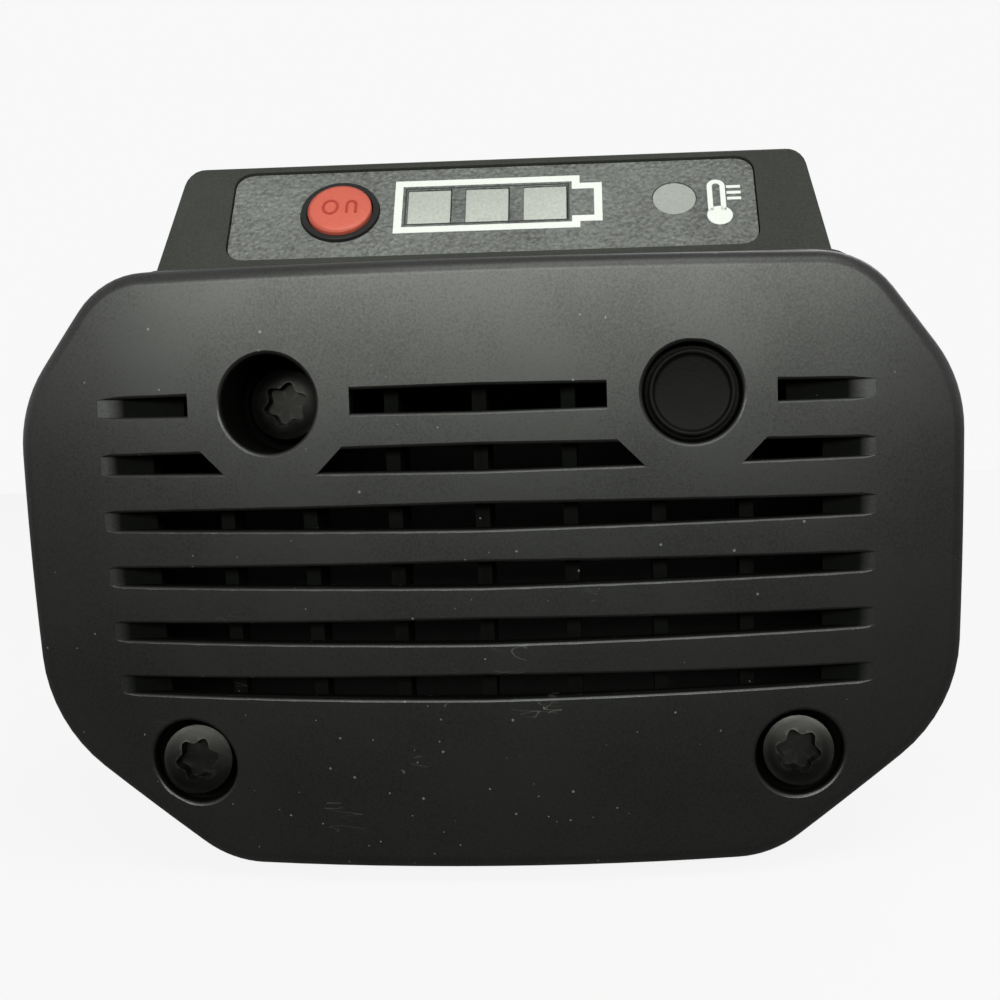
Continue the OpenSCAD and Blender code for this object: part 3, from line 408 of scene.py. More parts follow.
# How sharp and outward each corner is, from 0 to 1, for the rubbed edges
def edgeAttribute(thing, sharpest=45):
    work = bmesh.new()
    work.from_mesh(thing.data)
    sharpness = []
    for vert in work.verts:
        best = 0.0
        for edge in vert.link_edges:
            if len(edge.link_faces) == 2 and edge.is_convex:
                best = max(best, min(1.0, edge.calc_face_angle(0.0) / radians(sharpest)))
        sharpness.append(best)
    work.free()
    pointValues(thing.data, "edgeRub", sharpness)
    return thing


def smoothFaces(thing, angle=32):
    thing.data.shade_smooth()
    thing.data.set_sharp_from_angle(angle=radians(angle))


def roundEdges(thing, width, segments=2, angle=28):
    step = thing.modifiers.new("roundEdges", "BEVEL")
    step.width = width * mm
    step.segments = segments
    step.limit_method = "ANGLE"
    step.angle_limit = radians(angle)
    step.use_clamp_overlap = True
    bake(thing)


def weightNormals(thing, weight=60):
    step = thing.modifiers.new("weightNormals", "WEIGHTED_NORMAL")
    step.keep_sharp = True
    step.weight = weight
    bake(thing)


def finishPiece(thing, material, body="pack", replaced=()):
    thing.data.materials.clear()
    thing.data.materials.append(material)
    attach(thing, body)
    if replaced:
        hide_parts(*replaced)


# Copy of a CAD node with its edges rounded
def softCopy(name, width):
    made = bpy.data.objects.new(name + "_soft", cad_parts[name].data.copy())
    scene.collection.objects.link(made)
    made.data.materials.clear()
    mergeClose(made)
    if width > 0:
        roundEdges(made, width)
    edgeAttribute(made)
    smoothFaces(made)
    weightNormals(made)
    return made


# Outline with rounded corners, anticlockwise, moved inwards by inset
def roundedOutline(corners, radii, inset, steps, splits):
    count = len(corners)
    arcs = []
    for i in range(count):
        first = outward(corners[i - 1], corners[i])
        second = outward(corners[i], corners[(i + 1) % count])
        radius = max(radii[i] - inset, leastRadius)
        middle = Vector(corners[i]) - (inset + radius) * (first + second) / (1 + first.dot(second))
        sweep = atan2(first.x * second.y - first.y * second.x, first.dot(second))
        arc = []
        for k in range(steps + 1):
            turn = sweep * k / steps
            arc.append(middle + radius * Vector((first.x * cos(turn) - first.y * sin(turn),
                                                 first.x * sin(turn) + first.y * cos(turn))))
        arcs.append(arc)
    points = []
    for i in range(count):
        points.extend(arcs[i])
        start, end = arcs[i][-1], arcs[(i + 1) % count][0]
        points.extend(start.lerp(end, k / (splits[i] + 1)) for k in range(1, splits[i] + 1))
    return points


# Outward direction of an outline's edge
def outward(a, b):
    return Vector((b[1] - a[1], a[0] - b[0])).normalized()


leastRadius = 0.4  # of a corner or edge that is moved inwards, in mm


# Geometry Nodes trees

def newTree(name, inputs):
    inputs = [("Geometry", "Geometry", None)] + inputs + [("Material", "Material", None)]
    tree, start, end = newGroup(name, "GeometryNodeTree", inputs, [("Geometry", "Geometry")])
    tree.is_modifier = True
    return tree, start, end


# Realize Instances and Set Material close every tree
def closeTree(tree, geometry, start, end):
    realize = node(tree, "GeometryNodeRealizeInstances", {"Geometry": geometry})
    paint = node(tree, "GeometryNodeSetMaterial",
                 {"Geometry": realize.outputs["Geometry"], "Material": start.outputs["Material"]})
    fill(tree, end, {"Geometry": paint.outputs["Geometry"]})
    return tree


def runTree(thing, tree, values):
    step = thing.modifiers.new(tree.name, "NODES")
    step.node_group = tree
    for item in tree.interface.items_tree:
        if item.item_type == "SOCKET" and item.in_out == "INPUT" and item.name in values:
            step[item.identifier] = values[item.name]
    return bake(thing)


# Crown of the vented face: a flat piece is pressed back by the depth of a ring surface
def crownTree():
    tree, start, end = newTree("crownFace", [
        ("Crown across", "Float", 0.114), ("Crown up", "Float", 0.141), ("Crown line", "Float", 0.0501)])

    def square(value):
        return calc(tree, "MULTIPLY", value, value)

    spot = node(tree, "ShaderNodeSeparateXYZ", {0: node(tree, "GeometryNodeInputPosition").outputs[0]})
    across, up = start.outputs["Crown across"], start.outputs["Crown up"]
    rise = calc(tree, "SUBTRACT", spot.outputs["Z"], start.outputs["Crown line"])
    arch = calc(tree, "SQRT", calc(tree, "SUBTRACT", square(up), square(rise)))
    ring = calc(tree, "ADD", calc(tree, "SUBTRACT", across, up), arch)
    bow = calc(tree, "SUBTRACT", square(ring), square(spot.outputs["X"]))
    depth = calc(tree, "SUBTRACT", across, calc(tree, "SQRT", bow))
    share = node(tree, "GeometryNodeInputNamedAttribute", {"Name": "crownShare"}, data_type="FLOAT")
    push = node(tree, "ShaderNodeCombineXYZ", {"Y": calc(tree, "MULTIPLY", depth, share.outputs["Attribute"])})
    bend = node(tree, "GeometryNodeSetPosition",
                {"Geometry": start.outputs["Geometry"], "Offset": push.outputs[0]})
    return closeTree(tree, bend.outputs["Geometry"], start, end)


# Row of equal blocks, for ribs, windows and printed ticks
def blockRowTree():
    tree, start, end = newTree("blockRow", [
        ("Count", "Int", 3), ("First", "Vector", (0, 0, 0)), ("Step", "Vector", (0.005, 0, 0)),
        ("Size", "Vector", (0.004, 0.004, 0.001)), ("Place", "Vector", (0, 0, 0)), ("Tilt", "Float", 0.0)])
    given = start.outputs
    line = node(tree, "GeometryNodeMeshLine", {"Count": given["Count"], "Start Location": given["First"],
                                               "Offset": given["Step"]}, mode="OFFSET")
    block = node(tree, "GeometryNodeMeshCube", {"Size": given["Size"]})
    spread = node(tree, "GeometryNodeInstanceOnPoints",
                  {"Points": line.outputs["Mesh"], "Instance": block.outputs["Mesh"]})
    lean = node(tree, "ShaderNodeCombineXYZ", {"X": given["Tilt"]})
    move = node(tree, "GeometryNodeTransform", {"Geometry": spread.outputs["Instances"],
                                                "Translation": given["Place"], "Rotation": lean.outputs[0]})
    return closeTree(tree, move.outputs["Geometry"], start, end)


# One screw at each point of a mesh, turned by a random angle about its own axis
def screwSetTree():
    tree, start, end = newTree("screwSet", [("Screw", "Object", None), ("Seed", "Int", 4)])
    screw = node(tree, "GeometryNodeObjectInfo", {"Object": start.outputs["Screw"]}, transform_space="ORIGINAL")
    chance = node(tree, "FunctionNodeRandomValue",
                  {"Max": radians(60), "Seed": start.outputs["Seed"]}, data_type="FLOAT")
    turn = node(tree, "ShaderNodeCombineXYZ", {"Y": chance.outputs["Value"]})
    spread = node(tree, "GeometryNodeInstanceOnPoints",
                  {"Points": start.outputs["Geometry"], "Instance": screw.outputs["Geometry"],
                   "Rotation": turn.outputs[0]})
    return closeTree(tree, spread.outputs["Instances"], start, end)


crownFace = crownTree()
blockRow = blockRowTree()
screwSet = screwSetTree()
print("node trees built")


# Base cover

coverSizes = {
    "depth": 19.0, "wall": 2.4, "edgeRound": 1.3, "edgeSteps": 9, "faceSteps": 11, "middle": (0, 28),
    "crownAcross": 114.0, "crownUp": 141.0, "crownLine": 50.1,
    "corners": [(22.6, 0), (42.5, 15.1), (42.5, 43.7), (32.8, 56),
                (-32.8, 56), (-42.5, 43.7), (-42.5, 15.1), (-22.6, 0)],
    "radii": [9, 13, 12, 8, 8, 12, 13, 9],
    "drafts": [0.0, 1.2, 1.1, 1.45, 1.1, 1.2, 0.0, 1.45],  # how far each wall leans in at the front
    "splits": [3, 5, 3, 15, 3, 5, 3, 11], "cornerSteps": 8,
    "slotRows": 6, "slotTop": 43.0, "slotPitch": 4.9, "slotReach": 33.2, "slotMiddle": 2.1, "slotEnd": 1.5,
    "slotLip": 0.36, "slotFlare": (0.8, 1.5), "slotDepth": 13.0, "slotSteps": 60,
    "ramps": [8.6, 5.0, 5.0, 5.0, 5.0, 5.0], "rampDepth": 2.7, "rampSteps": 8, "rampTip": 0.06, "rampLip": 0.6,
    "landFlats": 14.1, "landRows": 2, "landSpan": (-4, 20), "upperX": 17.7, "lowerX": 26.75, "lowerZ": 11.4,
    "seat": 12.0, "seatWall": 3.0, "columnFrom": -2, "shankHole": 3.8, "barSides": 48, "overlap": 1,
    "wellRound": 8.3, "wellWall": 1.9, "recessRound": 7.9, "recessWall": 1.1,
    "wellLip": 0.45, "wellFlare": (0.75, 1.3), "wellSides": 72,
    "ribs": 9, "ribPitch": 7.4, "ribWidth": 1.2, "ribDepth": 10.0, "ribSetBack": 2.3,
}
lipTurns = [radians(a) for a in (0, 18, 36, 54, 70)]  # roll of a rounded lip, from the wall to the face
screwSpots = [(side * coverSizes["upperX"], coverSizes["slotTop"]) for side in (-1, 1)]
screwSpots += [(side * coverSizes["lowerX"], coverSizes["lowerZ"]) for side in (-1, 1)]


# Corners of the front edge, where each wall has leaned in by its own draft
def draftedCorners():
    corners = [Vector(p) for p in coverSizes["corners"]]
    drafts = coverSizes["drafts"]
    moved = []
    for i in range(len(corners)):
        first = outward(corners[i - 1], corners[i])
        second = outward(corners[i], corners[(i + 1) % len(corners)])
        turn = first.dot(second)
        a, b = drafts[i - 1], drafts[i]
        moved.append(corners[i] - ((a - b * turn) * first + (b - a * turn) * second) / (1 - turn * turn))
    return moved


# Outline of the case, or of the cover's drafted front edge
def caseOutline(inset, front=False):
    c = coverSizes
    corners = draftedCorners() if front else c["corners"]
    return roundedOutline(corners, c["radii"], inset, c["cornerSteps"], c["splits"])


def crowned(thing):
    c = coverSizes
    return runTree(thing, crownFace, {"Crown across": c["crownAcross"] * mm, "Crown up": c["crownUp"] * mm,
                                      "Crown line": c["crownLine"] * mm, "Material": coverFinish})


# Depth and outward direction of the crowned face at a place, in mm
def crownAt(x, z):
    c = coverSizes
    arch = sqrt(c["crownUp"] ** 2 - (z - c["crownLine"]) ** 2)
    ring = c["crownAcross"] - c["crownUp"] + arch
    back = sqrt(ring ** 2 - x * x)
    lean = Vector((x / back, -1.0, ring / back * (z - c["crownLine"]) / arch))
    return packFront + c["crownAcross"] - back, lean.normalized()


def insideRim(rim, x, z):
    inside = False
    for i in range(len(rim)):
        a, b = rim[i - 1], rim[i]
        if (a.y > z) != (b.y > z) and x < a.x + (z - a.y) * (b.x - a.x) / (b.y - a.y):
            inside = not inside
    return inside


onCrown = {"rim": 0.05, "reach": 0.03, "facing": 0.97}


# True crown directions on the face's own points, so that the cut-up face shades as one smooth sheet
def crownNormals(thing):
    mesh = thing.data
    rim = caseOutline(coverSizes["edgeRound"] + onCrown["rim"], True)
    leans = {}
    for vert in mesh.vertices:
        x, y, z = (v / mm for v in vert.co)
        depth, lean = crownAt(x, z)
        if abs(y - depth) < onCrown["reach"] and insideRim(rim, x, z):
            leans[vert.index] = lean
    normals = [Vector(n.vector) for n in mesh.corner_normals]
    for face in mesh.polygons:
        for k in face.loop_indices:
            lean = leans.get(mesh.loops[k].vertex_index)
            if lean is not None and face.normal.dot(lean) > onCrown["facing"]:
                normals[k] = lean
    mesh.normals_split_custom_set(normals)


# How deep each point lies behind the crowned face, in mm, inside the rim: the sheen fades out there, which paints
# shade into the recesses
def recessAttribute(thing, rimWidth=0.3):
    rim = caseOutline(coverSizes["edgeRound"] - rimWidth, True)
    depths = []
    for vert in thing.data.vertices:
        x, y, z = (v / mm for v in vert.co)
        depths.append(max(0.0, y - crownAt(x, z)[0]) if insideRim(rim, x, z) else 0.0)
    pointValues(thing.data, "recess", depths)


# Crowned shell, set in by offset, as one closed solid that reaches back to a depth
def coverSolid(name, offset, back):
    c = coverSizes
    radius = max(c["edgeRound"] - offset, leastRadius)
    rings = [[(p.x, packFront + back, p.y, 0.0) for p in caseOutline(offset)]]
    for k in range(c["edgeSteps"] + 1):
        turn = radians(90 / c["edgeSteps"] * k)
        drop = packFront + offset + radius * (1 - sin(turn))
        rings.append([(p.x, drop, p.y, 1.0) for p in caseOutline(offset + radius * (1 - cos(turn)), True)])
    inner = caseOutline(offset + radius, True)
    middle = Vector(c["middle"])
    for k in range(1, c["faceSteps"]):
        rings.append([(p.x, packFront + offset, p.y, 1.0)
                      for p in (middle.lerp(q, 1 - k / c["faceSteps"]) for q in inner)])
    return crowned(loft(name, rings))


# Profile of a cutter's rounded lip, which flares past the face: depth, half width and share of the crown
def lipProfile(half, lip, ahead, wider):
    side = [(packFront + lip * (1 - sin(turn)), half + lip * (1 - cos(turn)), 1.0) for turn in lipTurns]
    return side + [(side[-1][0] - ahead, side[-1][1] + wider, 1.0)]


# Cutter of one vent row: straight walls, lips that follow the crown, and floors that rise to the face at both ends
def slotCutter(row, tiny=0.01):
    c = coverSizes
    z = c["slotTop"] - row * c["slotPitch"]
    slope = c["ramps"][row]
    clear = c["slotReach"] - slope
    steps = [clear * (2 * k / c["slotSteps"] - 1) for k in range(c["slotSteps"] + 1)]
    ends = [clear + tiny + (slope - tiny) * k / c["rampSteps"] for k in range(c["rampSteps"] + 1)]
    rings = []
    for x in [-e for e in reversed(ends)] + steps + ends:
        half = c["slotMiddle"] / 2 - (c["slotMiddle"] - c["slotEnd"]) / 2 * abs(x) / c["slotReach"]
        lip = c["slotLip"]
        floor = (packFront + c["slotDepth"], half, 0.0)
        if abs(x) > clear:
            rise = c["rampTip"] + c["rampDepth"] * ((c["slotReach"] - abs(x)) / slope)
            lip = min(lip, c["rampLip"] * rise)
            floor = (packFront + rise, half, 1.0)
        side = [floor] + lipProfile(half, lip, *c["slotFlare"])
        ring = [(x, y, z + h, share) for y, h, share in side]
        rings.append(ring + [(x, y, z - h, share) for y, h, share in reversed(side)])
    return crowned(loft("slot", rings))


# Eight-sided land that keeps the slots off an upper well
def landPrism(side):
    c = coverSizes
    reach = c["landFlats"] / 2 / cos(radians(22.5))
    turns = [radians(22.5 + 45 * k) for k in range(8)]
    return loft("land", [[(side * c["upperX"] + reach * cos(turn), packFront + y, c["slotTop"] + reach * sin(turn))
                          for turn in turns] for y in c["landSpan"]])


# Cutter of a screw well whose mouth is flared along the crown
def wellCutter(x, z, width):
    c = coverSizes
    profile = [(packFront + c["seat"], width / 2, 0.0)] + lipProfile(width / 2, c["wellLip"], *c["wellFlare"])
    return crowned(loft("well", [[(a, y, b, share) for a, b in circle(x, z, radius, c["wellSides"])]
                                 for y, radius, share in profile]))


def roundBar(name, x, z, start, end, radius):
    return lathe(name, x, z, [(packFront + start, radius), (packFront + end, radius)], coverSizes["barSides"])


# Upright ribs behind the slots, kept back from the face
def ribSolid():
    c = coverSizes
    low = c["slotTop"] - (c["slotRows"] - 0.5) * c["slotPitch"]
    high = c["slotTop"] + 0.5 * c["slotPitch"]
    ribs = runTree(emptyMesh("ribs"), blockRow, {
        "Count": c["ribs"], "First": (-(c["ribs"] - 1) / 2 * c["ribPitch"] * mm, 0.0, 0.0),
        "Step": (c["ribPitch"] * mm, 0.0, 0.0),
        "Size": (c["ribWidth"] * mm, c["ribDepth"] * mm, (high - low) * mm),
        "Place": (0.0, (packFront + c["ribDepth"] / 2) * mm, (low + high) / 2 * mm), "Material": coverFinish})
    return combine(ribs, [coverSolid("ribFace", c["ribSetBack"], c["depth"])], "INTERSECT")


def makeBaseCover():
    c = coverSizes
    cover = coverSolid("base_cover_soft", 0.0, c["depth"])
    inside = coverSolid("coverInside", c["wall"], c["depth"] + c["overlap"])
    widths = [(c["wellRound"], c["wellWall"])] * 2 + [(c["recessRound"], c["recessWall"])] * 2
    for (x, z), (width, wall) in zip(screwSpots, widths):
        column = roundBar("column", x, z, c["columnFrom"], c["seat"] + c["seatWall"], width / 2 + wall)
        combine(inside, [column], "DIFFERENCE")
    combine(inside, [ribSolid()], "DIFFERENCE")
    combine(cover, [inside], "DIFFERENCE")
    print("cover shell:", len(cover.data.polygons), "faces")
    for row in range(c["slotRows"]):
        slot = slotCutter(row)
        combine(slot, [ribSolid()], "DIFFERENCE")
        if row < c["landRows"]:
            combine(slot, [landPrism(-1), landPrism(1)], "DIFFERENCE")
        combine(cover, [slot], "DIFFERENCE")
    for (x, z), (width, wall) in zip(screwSpots, widths):
        well = wellCutter(x, z, width)
        hole = roundBar("shankHole", x, z, c["seat"] - c["overlap"], c["depth"], c["shankHole"] / 2)
        combine(cover, [well, hole], "DIFFERENCE")
    mergeClose(cover, distance=0.004, flat=0.05)
    edgeAttribute(cover)
    recessAttribute(cover)
    smoothFaces(cover, angle=38)
    weightNormals(cover)
    crownNormals(cover)
    finishPiece(cover, coverFinish, "pack", ["base_cover"])
    print("base cover:", len(cover.data.polygons), "faces")


makeBaseCover()


# Cover screws

screwSizes = {"headRound": 6.7, "headHeight": 2.3, "crown": 12.0, "crownSteps": 6, "crownMiddle": 0.2, "edge": 0.25,
              "chamfer": 0.1, "shank": 3.4, "length": 12.0, "point": (0.6, 0.5), "sides": 72, "seed": 4,
              "drive": 4.0, "driveWave": 0.13, "driveLobes": 6,
              "driveRings": ((-0.5, 1.25), (0.12, 1.0), (1.4, 0.9))}  # depths below the head and widths of the star


# One star-drive screw with its head towards -Y and its seat at the origin
def makeScrew():
    s = screwSizes
    shank, rim = s["shank"] / 2, s["headRound"] / 2
    low = s["headHeight"] - s["crown"]

    def crownHeight(radius):
        return low + sqrt(s["crown"] ** 2 - radius ** 2)

    back, slim = s["point"]
    profile = [(s["length"], shank - slim), (s["length"] - back, shank), (0.0, shank), (0.0, rim - s["chamfer"]),
               (-s["chamfer"], rim), (-crownHeight(rim) + s["edge"], rim)]
    for k in range(s["crownSteps"] + 1):
        share = k / s["crownSteps"]
        radius = (rim - s["edge"]) * (1 - share) + s["crownMiddle"] * share
        profile.append((-crownHeight(radius), radius))
    screw = lathe("screw", 0, 0, profile, s["sides"])
    star = []
    for below, grow in s["driveRings"]:
        ring = []
        for k in range(s["sides"]):
            turn = 2 * pi * k / s["sides"]
            radius = s["drive"] / 2 * grow * (1 - s["driveWave"] * (1 - cos(s["driveLobes"] * turn)))
            ring.append((radius * cos(turn), -s["headHeight"] + below, radius * sin(turn)))
        star.append(ring)
    return combine(screw, [loft("starDrive", star)], "DIFFERENCE")


def makeScrews():
    spots = [(x, packFront + coverSizes["seat"], z) for x, z in screwSpots]
    screw = makeScrew()
    screws = runTree(emptyMesh("cover_screws_soft", spots), screwSet,
                     {"Screw": screw, "Seed": screwSizes["seed"], "Material": screwFinish})
    bpy.data.objects.remove(screw)
    edgeAttribute(screws)
    smoothFaces(screws, angle=30)
    finishPiece(screws, screwFinish, "pack", ["cover_screws"])
    print("cover screws:", len(screws.data.polygons), "faces")


makeScrews()


# Plug in the right-hand well: a dished face inside a thin rim, stepped in from its sealing ring

plugSizes = {"front": 2.3, "length": 3.0, "ring": 4.1, "ringEdge": 0.2, "nose": 3.62, "noseLength": 1.1,
             "rim": 0.16, "rimRound": 0.12, "rimSteps": 6, "dish": 0.35, "dishRound": 0.3, "dishSteps": 4,
             "middle": 0.4, "sides": 72}


def makePlug():
    g = plugSizes
    edge, ring, bevel = g["rimRound"], g["ring"], g["ringEdge"]
    profile = [(g["length"], ring - bevel), (g["length"] - bevel, ring), (g["noseLength"] + bevel, ring),
               (g["noseLength"], ring - bevel), (g["noseLength"], g["nose"]), (edge, g["nose"])]
    for k in range(1, g["rimSteps"] + 1):
        turn = pi * k / g["rimSteps"]
        profile.append((edge * (1 - sin(turn)), g["nose"] - (edge + g["rim"] / 2) * (1 - cos(turn))))
    inner = profile[-1][1]
    for k in range(1, g["dishSteps"] + 1):
        turn = pi / 2 * k / g["dishSteps"]
        profile.append((edge + (g["dish"] - edge) * sin(turn), inner - g["dishRound"] * (1 - cos(turn))))
    profile.append((g["dish"], g["middle"]))
    plug = lathe("seal_plug_soft", coverSizes["upperX"], coverSizes["slotTop"],
                 [(packFront + g["front"] + y, radius) for y, radius in profile], g["sides"])
    edgeAttribute(plug)
    smoothFaces(plug, angle=40)
    finishPiece(plug, plugFinish, "pack", ["seal_plug"])
    print("plug:", len(plug.data.polygons), "faces")


makePlug()


# Housing, catches, carrier and display pieces: the CAD shapes with rounded edges

for name, width, material, slot, body in (
        ("main_housing", 0.45, housingFinish, "housing_plastic", "pack"),
        ("display_panel", 0.22, panelFinish, "panel_plastic", "pack"),
        ("contact_carrier", 0.2, carrierFinish, "carrier_plastic", "pack"),
        ("release_latch_left", 0.3, latchFinish, "latch_plastic", "left_catch"),
        ("release_latch_right", 0.3, latchFinish, "latch_plastic", "right_catch"),
        ("button_seal", 0.12, sealFinish, "seal_rubber", "pack"),
        ("on_button", 0.2, buttonFinish, "button_red", "button"),
        ("temperature_window", 0.1, lampFinish, "window_grey", "pack")):
    piece = softCopy(name, width)
    finishPiece(piece, material, body, [name])
    print("rounded:", name, len(piece.data.polygons), "faces")


# Catch springs, copied from the CAD; in the real pack they shorten towards their fixed inner ends as the catches are
# pressed


def makeSpring(side):
    name = "latch_spring_" + side
    spring = softCopy(name, 0)
    finishPiece(spring, springFinish, "pack", [name])
    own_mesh(spring)
    print("spring:", name, len(spring.data.polygons), "faces")


makeSpring("left")
makeSpring("right")


# Display: windows, printed signs and the button's letters, laid out on the slanted panel in mm

displaySizes = {
    "origin": (0.0, packFront + 22.7, 56.9), "slant": 38, "printLow": -0.02, "printHigh": 0.02, "borderHigh": 0.014,
    "windows": {"count": 3, "first": -6.1, "pitch": 5.65, "width": 4.2, "height": 4.4, "middle": 6.5,
                "low": -1.0, "high": -0.1, "edge": 0.12},
    "battery": [(-9.5, 3.0), (8.6, 3.0), (8.6, 3.8), (10.75, 3.8),
                (10.75, 8.95), (8.6, 8.95), (8.6, 10.0), (-9.5, 10.0)], "stroke": 0.78,
    "border": [(-9.5, 3.0), (8.6, 3.0), (8.6, 10.0), (-9.5, 10.0)], "borderGap": 0.32, "borderStroke": 0.16,
    "tube": {"x": 21.75, "low": 4.6, "high": 7.85, "radius": 0.62, "stroke": 0.5, "steps": 12},
    "bulb": (21.95, 3.95, 1.22, 40),
    "ticks": {"count": 3, "first": 6.15, "pitch": 0.78, "left": 22.75, "right": 24.1, "height": 0.36},
    "letters": {"stroke": 0.26, "low": -0.25, "high": 0.03, "ring": (-0.84, 0.0, 0.70, 0.86), "ringSides": 32,
                "arch": (0.78, 1.66, -0.80, 0.72), "archSteps": 9},
}
slant = radians(displaySizes["slant"])
panelUp = Vector((0, sin(slant), cos(slant)))
panelOut = Vector((0, -cos(slant), sin(slant)))


def displayPoint(x, u, out):
    start = displaySizes["origin"]
    return (start[0] + x, start[1] + u * sin(slant) - out * cos(slant), start[2] + u * cos(slant) + out * sin(slant))


# Row of blocks along the panel, between two heights out of its plane
def panelRow(name, count, first, step, size, low, high, material):
    return runTree(emptyMesh(name), blockRow, {
        "Count": count, "First": (first[0] * mm, first[1] * mm, (low + high) / 2 * mm),
        "Step": (step[0] * mm, step[1] * mm, 0.0), "Size": (size[0] * mm, size[1] * mm, (high - low) * mm),
        "Place": tuple(c * mm for c in displaySizes["origin"]), "Tilt": radians(90 - displaySizes["slant"]),
        "Material": material})


# Step to the left at each point of a path that moves both of its edges by one
def mitres(path, closed=True):
    count = len(path)
    edges = [(Vector(path[(i + 1) % count]) - Vector(path[i])).normalized() for i in range(count)]
    if not closed:
        edges[-1] = edges[-2]
    steps = []
    for i in range(count):
        before = edges[i - 1] if closed or i else edges[0]
        a, b = (Vector((-v.y, v.x)) for v in (before, edges[i]))
        steps.append((a + b) / (1 + a.dot(b)))
    return steps


def insetPath(path, amount):
    return [Vector(p) + amount * step for p, step in zip(path, mitres(path))]


# Flat stroke along a path, with mitred corners; a closed path gives a frame
def strokePlate(name, path, width, low, high, closed):
    count = len(path)
    points = []
    for p, step in zip(path, mitres(path, closed)):
        a, b = Vector(p) + step * width / 2, Vector(p) - step * width / 2
        points += [displayPoint(q.x, q.y, out) for q, out in ((a, low), (b, low), (b, high), (a, high))]
    faces = []
    for i in range(count if closed else count - 1):
        j = (i + 1) % count
        for k in range(4):
            n = (k + 1) % 4
            faces.append((4 * i + k, 4 * j + k, 4 * j + n, 4 * i + n))
    if not closed:
        faces += [(0, 1, 2, 3), tuple(4 * (count - 1) + k for k in (3, 2, 1, 0))]
    return meshObject(name, points, faces)


# Half turn over the top of a stroke, without its two ends
def halfTurn(x, u, radius, steps, fromLeft):
    turns = [pi * k / steps for k in range(1, steps)]
    if fromLeft:
        turns = [pi - turn for turn in turns]
    return [(x + radius * cos(turn), u + radius * sin(turn)) for turn in turns]


def joinPieces(name, parts):
    work = bmesh.new()
    for part in parts:
        work.from_mesh(part.data)
        bpy.data.objects.remove(part)
    made = emptyMesh(name)
    work.to_mesh(made.data)
    work.free()
    return made


def makeWindows():
    w = displaySizes["windows"]
    windows = panelRow("charge_windows_soft", w["count"], (w["first"], w["middle"]), (w["pitch"], 0.0),
                       (w["width"], w["height"]), w["low"], w["high"], windowFinish)
    roundEdges(windows, w["edge"])
    edgeAttribute(windows)
    smoothFaces(windows)
    finishPiece(windows, windowFinish, "pack", ["charge_windows"])


def makeSigns():
    d = displaySizes
    low, high, stroke = d["printLow"], d["printHigh"], d["stroke"]
    battery = strokePlate("batterySign", insetPath(d["battery"], stroke / 2), stroke, low, high, True)
    finishPiece(edgeAttribute(battery), printFinish)
    line = insetPath(d["border"], stroke + d["borderGap"])
    border = strokePlate("windowBorder", line, d["borderStroke"], low, d["borderHigh"], True)
    finishPiece(edgeAttribute(border), linePrint)
    t = d["tube"]
    right, left = t["x"] + t["radius"], t["x"] - t["radius"]
    path = [(right, t["low"]), (right, t["high"])]
    path += halfTurn(t["x"], t["high"], t["radius"], t["steps"], False)
    path += [(left, t["high"]), (left, t["low"])]
    rim = circle(*d["bulb"])
    bulb = loft("bulb", [[displayPoint(x, u, out) for x, u in rim] for out in (low, high)])
    row = d["ticks"]
    ticks = panelRow("ticks", row["count"], ((row["left"] + row["right"]) / 2, row["first"]), (0.0, row["pitch"]),
                     (row["right"] - row["left"], row["height"]), low, high, printFinish)
    tube = strokePlate("tube", path, t["stroke"], low, high, False)
    sign = joinPieces("temperatureSign", [tube, bulb, ticks])
    finishPiece(edgeAttribute(sign), printFinish)


# Letters that stand a little out of the button's highest point, in a darker red that paints the shade of their
# relief
def makeLetters():
    text = displaySizes["letters"]
    start = Vector(displaySizes["origin"])
    top = max((v.co / mm - start).dot(panelOut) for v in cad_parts["on_button"].data.vertices)
    low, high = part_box("on_button")
    centreX = (low.x + high.x) / 2 / mm
    centreU = ((low + high) / 2 / mm - start).dot(panelUp)
    x, u, wide, tall = text["ring"]
    turns = [2 * pi * k / text["ringSides"] for k in range(text["ringSides"])]
    ring = [(centreX + x + wide * cos(turn), centreU + u + tall * sin(turn)) for turn in turns]
    left, right, foot, head = text["arch"]
    radius = (right - left) / 2
    shoulder = centreU + head - radius
    arch = [(centreX + left, centreU + foot), (centreX + left, shoulder)]
    arch += halfTurn(centreX + left + radius, shoulder, radius, text["archSteps"], True)
    arch += [(centreX + right, shoulder), (centreX + right, centreU + foot)]
    strokes = [strokePlate(name, path, text["stroke"], top + text["low"], top + text["high"], closed)
               for name, path, closed in (("ring", ring, True), ("arch", arch, False))]
    letters = joinPieces("buttonLetters", strokes)
    finishPiece(edgeAttribute(letters), shadedLetterFinish, "button")


makeWindows()
makeSigns()
makeLetters()
print("display dressed")


# Pieces that stay as the CAD has them

cadFinishes = {
    boardFinish: ["display_board", "control_board"],
    switchFinish: ["button_switch"],
    ledFinish: ["charge_leds", "temperature_led"],
    cableFinish: ["display_cable"],
    holderFinish: ["front_cell_holder", "rear_cell_holder"],
    leadFinish: ["positive_lead"],
    returnFinish: ["negative_lead"],
    beadFinish: ["thermistor"],
    pinFinish: ["board_screws"],
    brassFinish: ["positive_contact", "negative_contact", "signal_contacts"],
    nickelFinish: ["negative_busbar", "positive_busbar"] + ["series_link_%d" % k for k in range(1, 5)],
    insulatorFinish: ["front_insulator"],
    sleeveFinish: ["cell_%d" % k for k in range(1, 11)],
}
for material, names in cadFinishes.items():
    for name in names:
        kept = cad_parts[name].data
        kept.materials.clear()
        kept.materials.append(material)
print("CAD nodes finished:", sum(len(names) for names in cadFinishes.values()))


# Floor, light and camera

studio = {"floorSize": 1.6, "floorPale": (0.85, 0.85, 0.85, 1), "floorBounce": (0.09, 0.09, 0.09, 1),
          "floorWhite": 0.88, "floorMirror": 0.05, "skyWhite": 0.935, "skyMirror": 0.4, "worldStrength": 0.08}


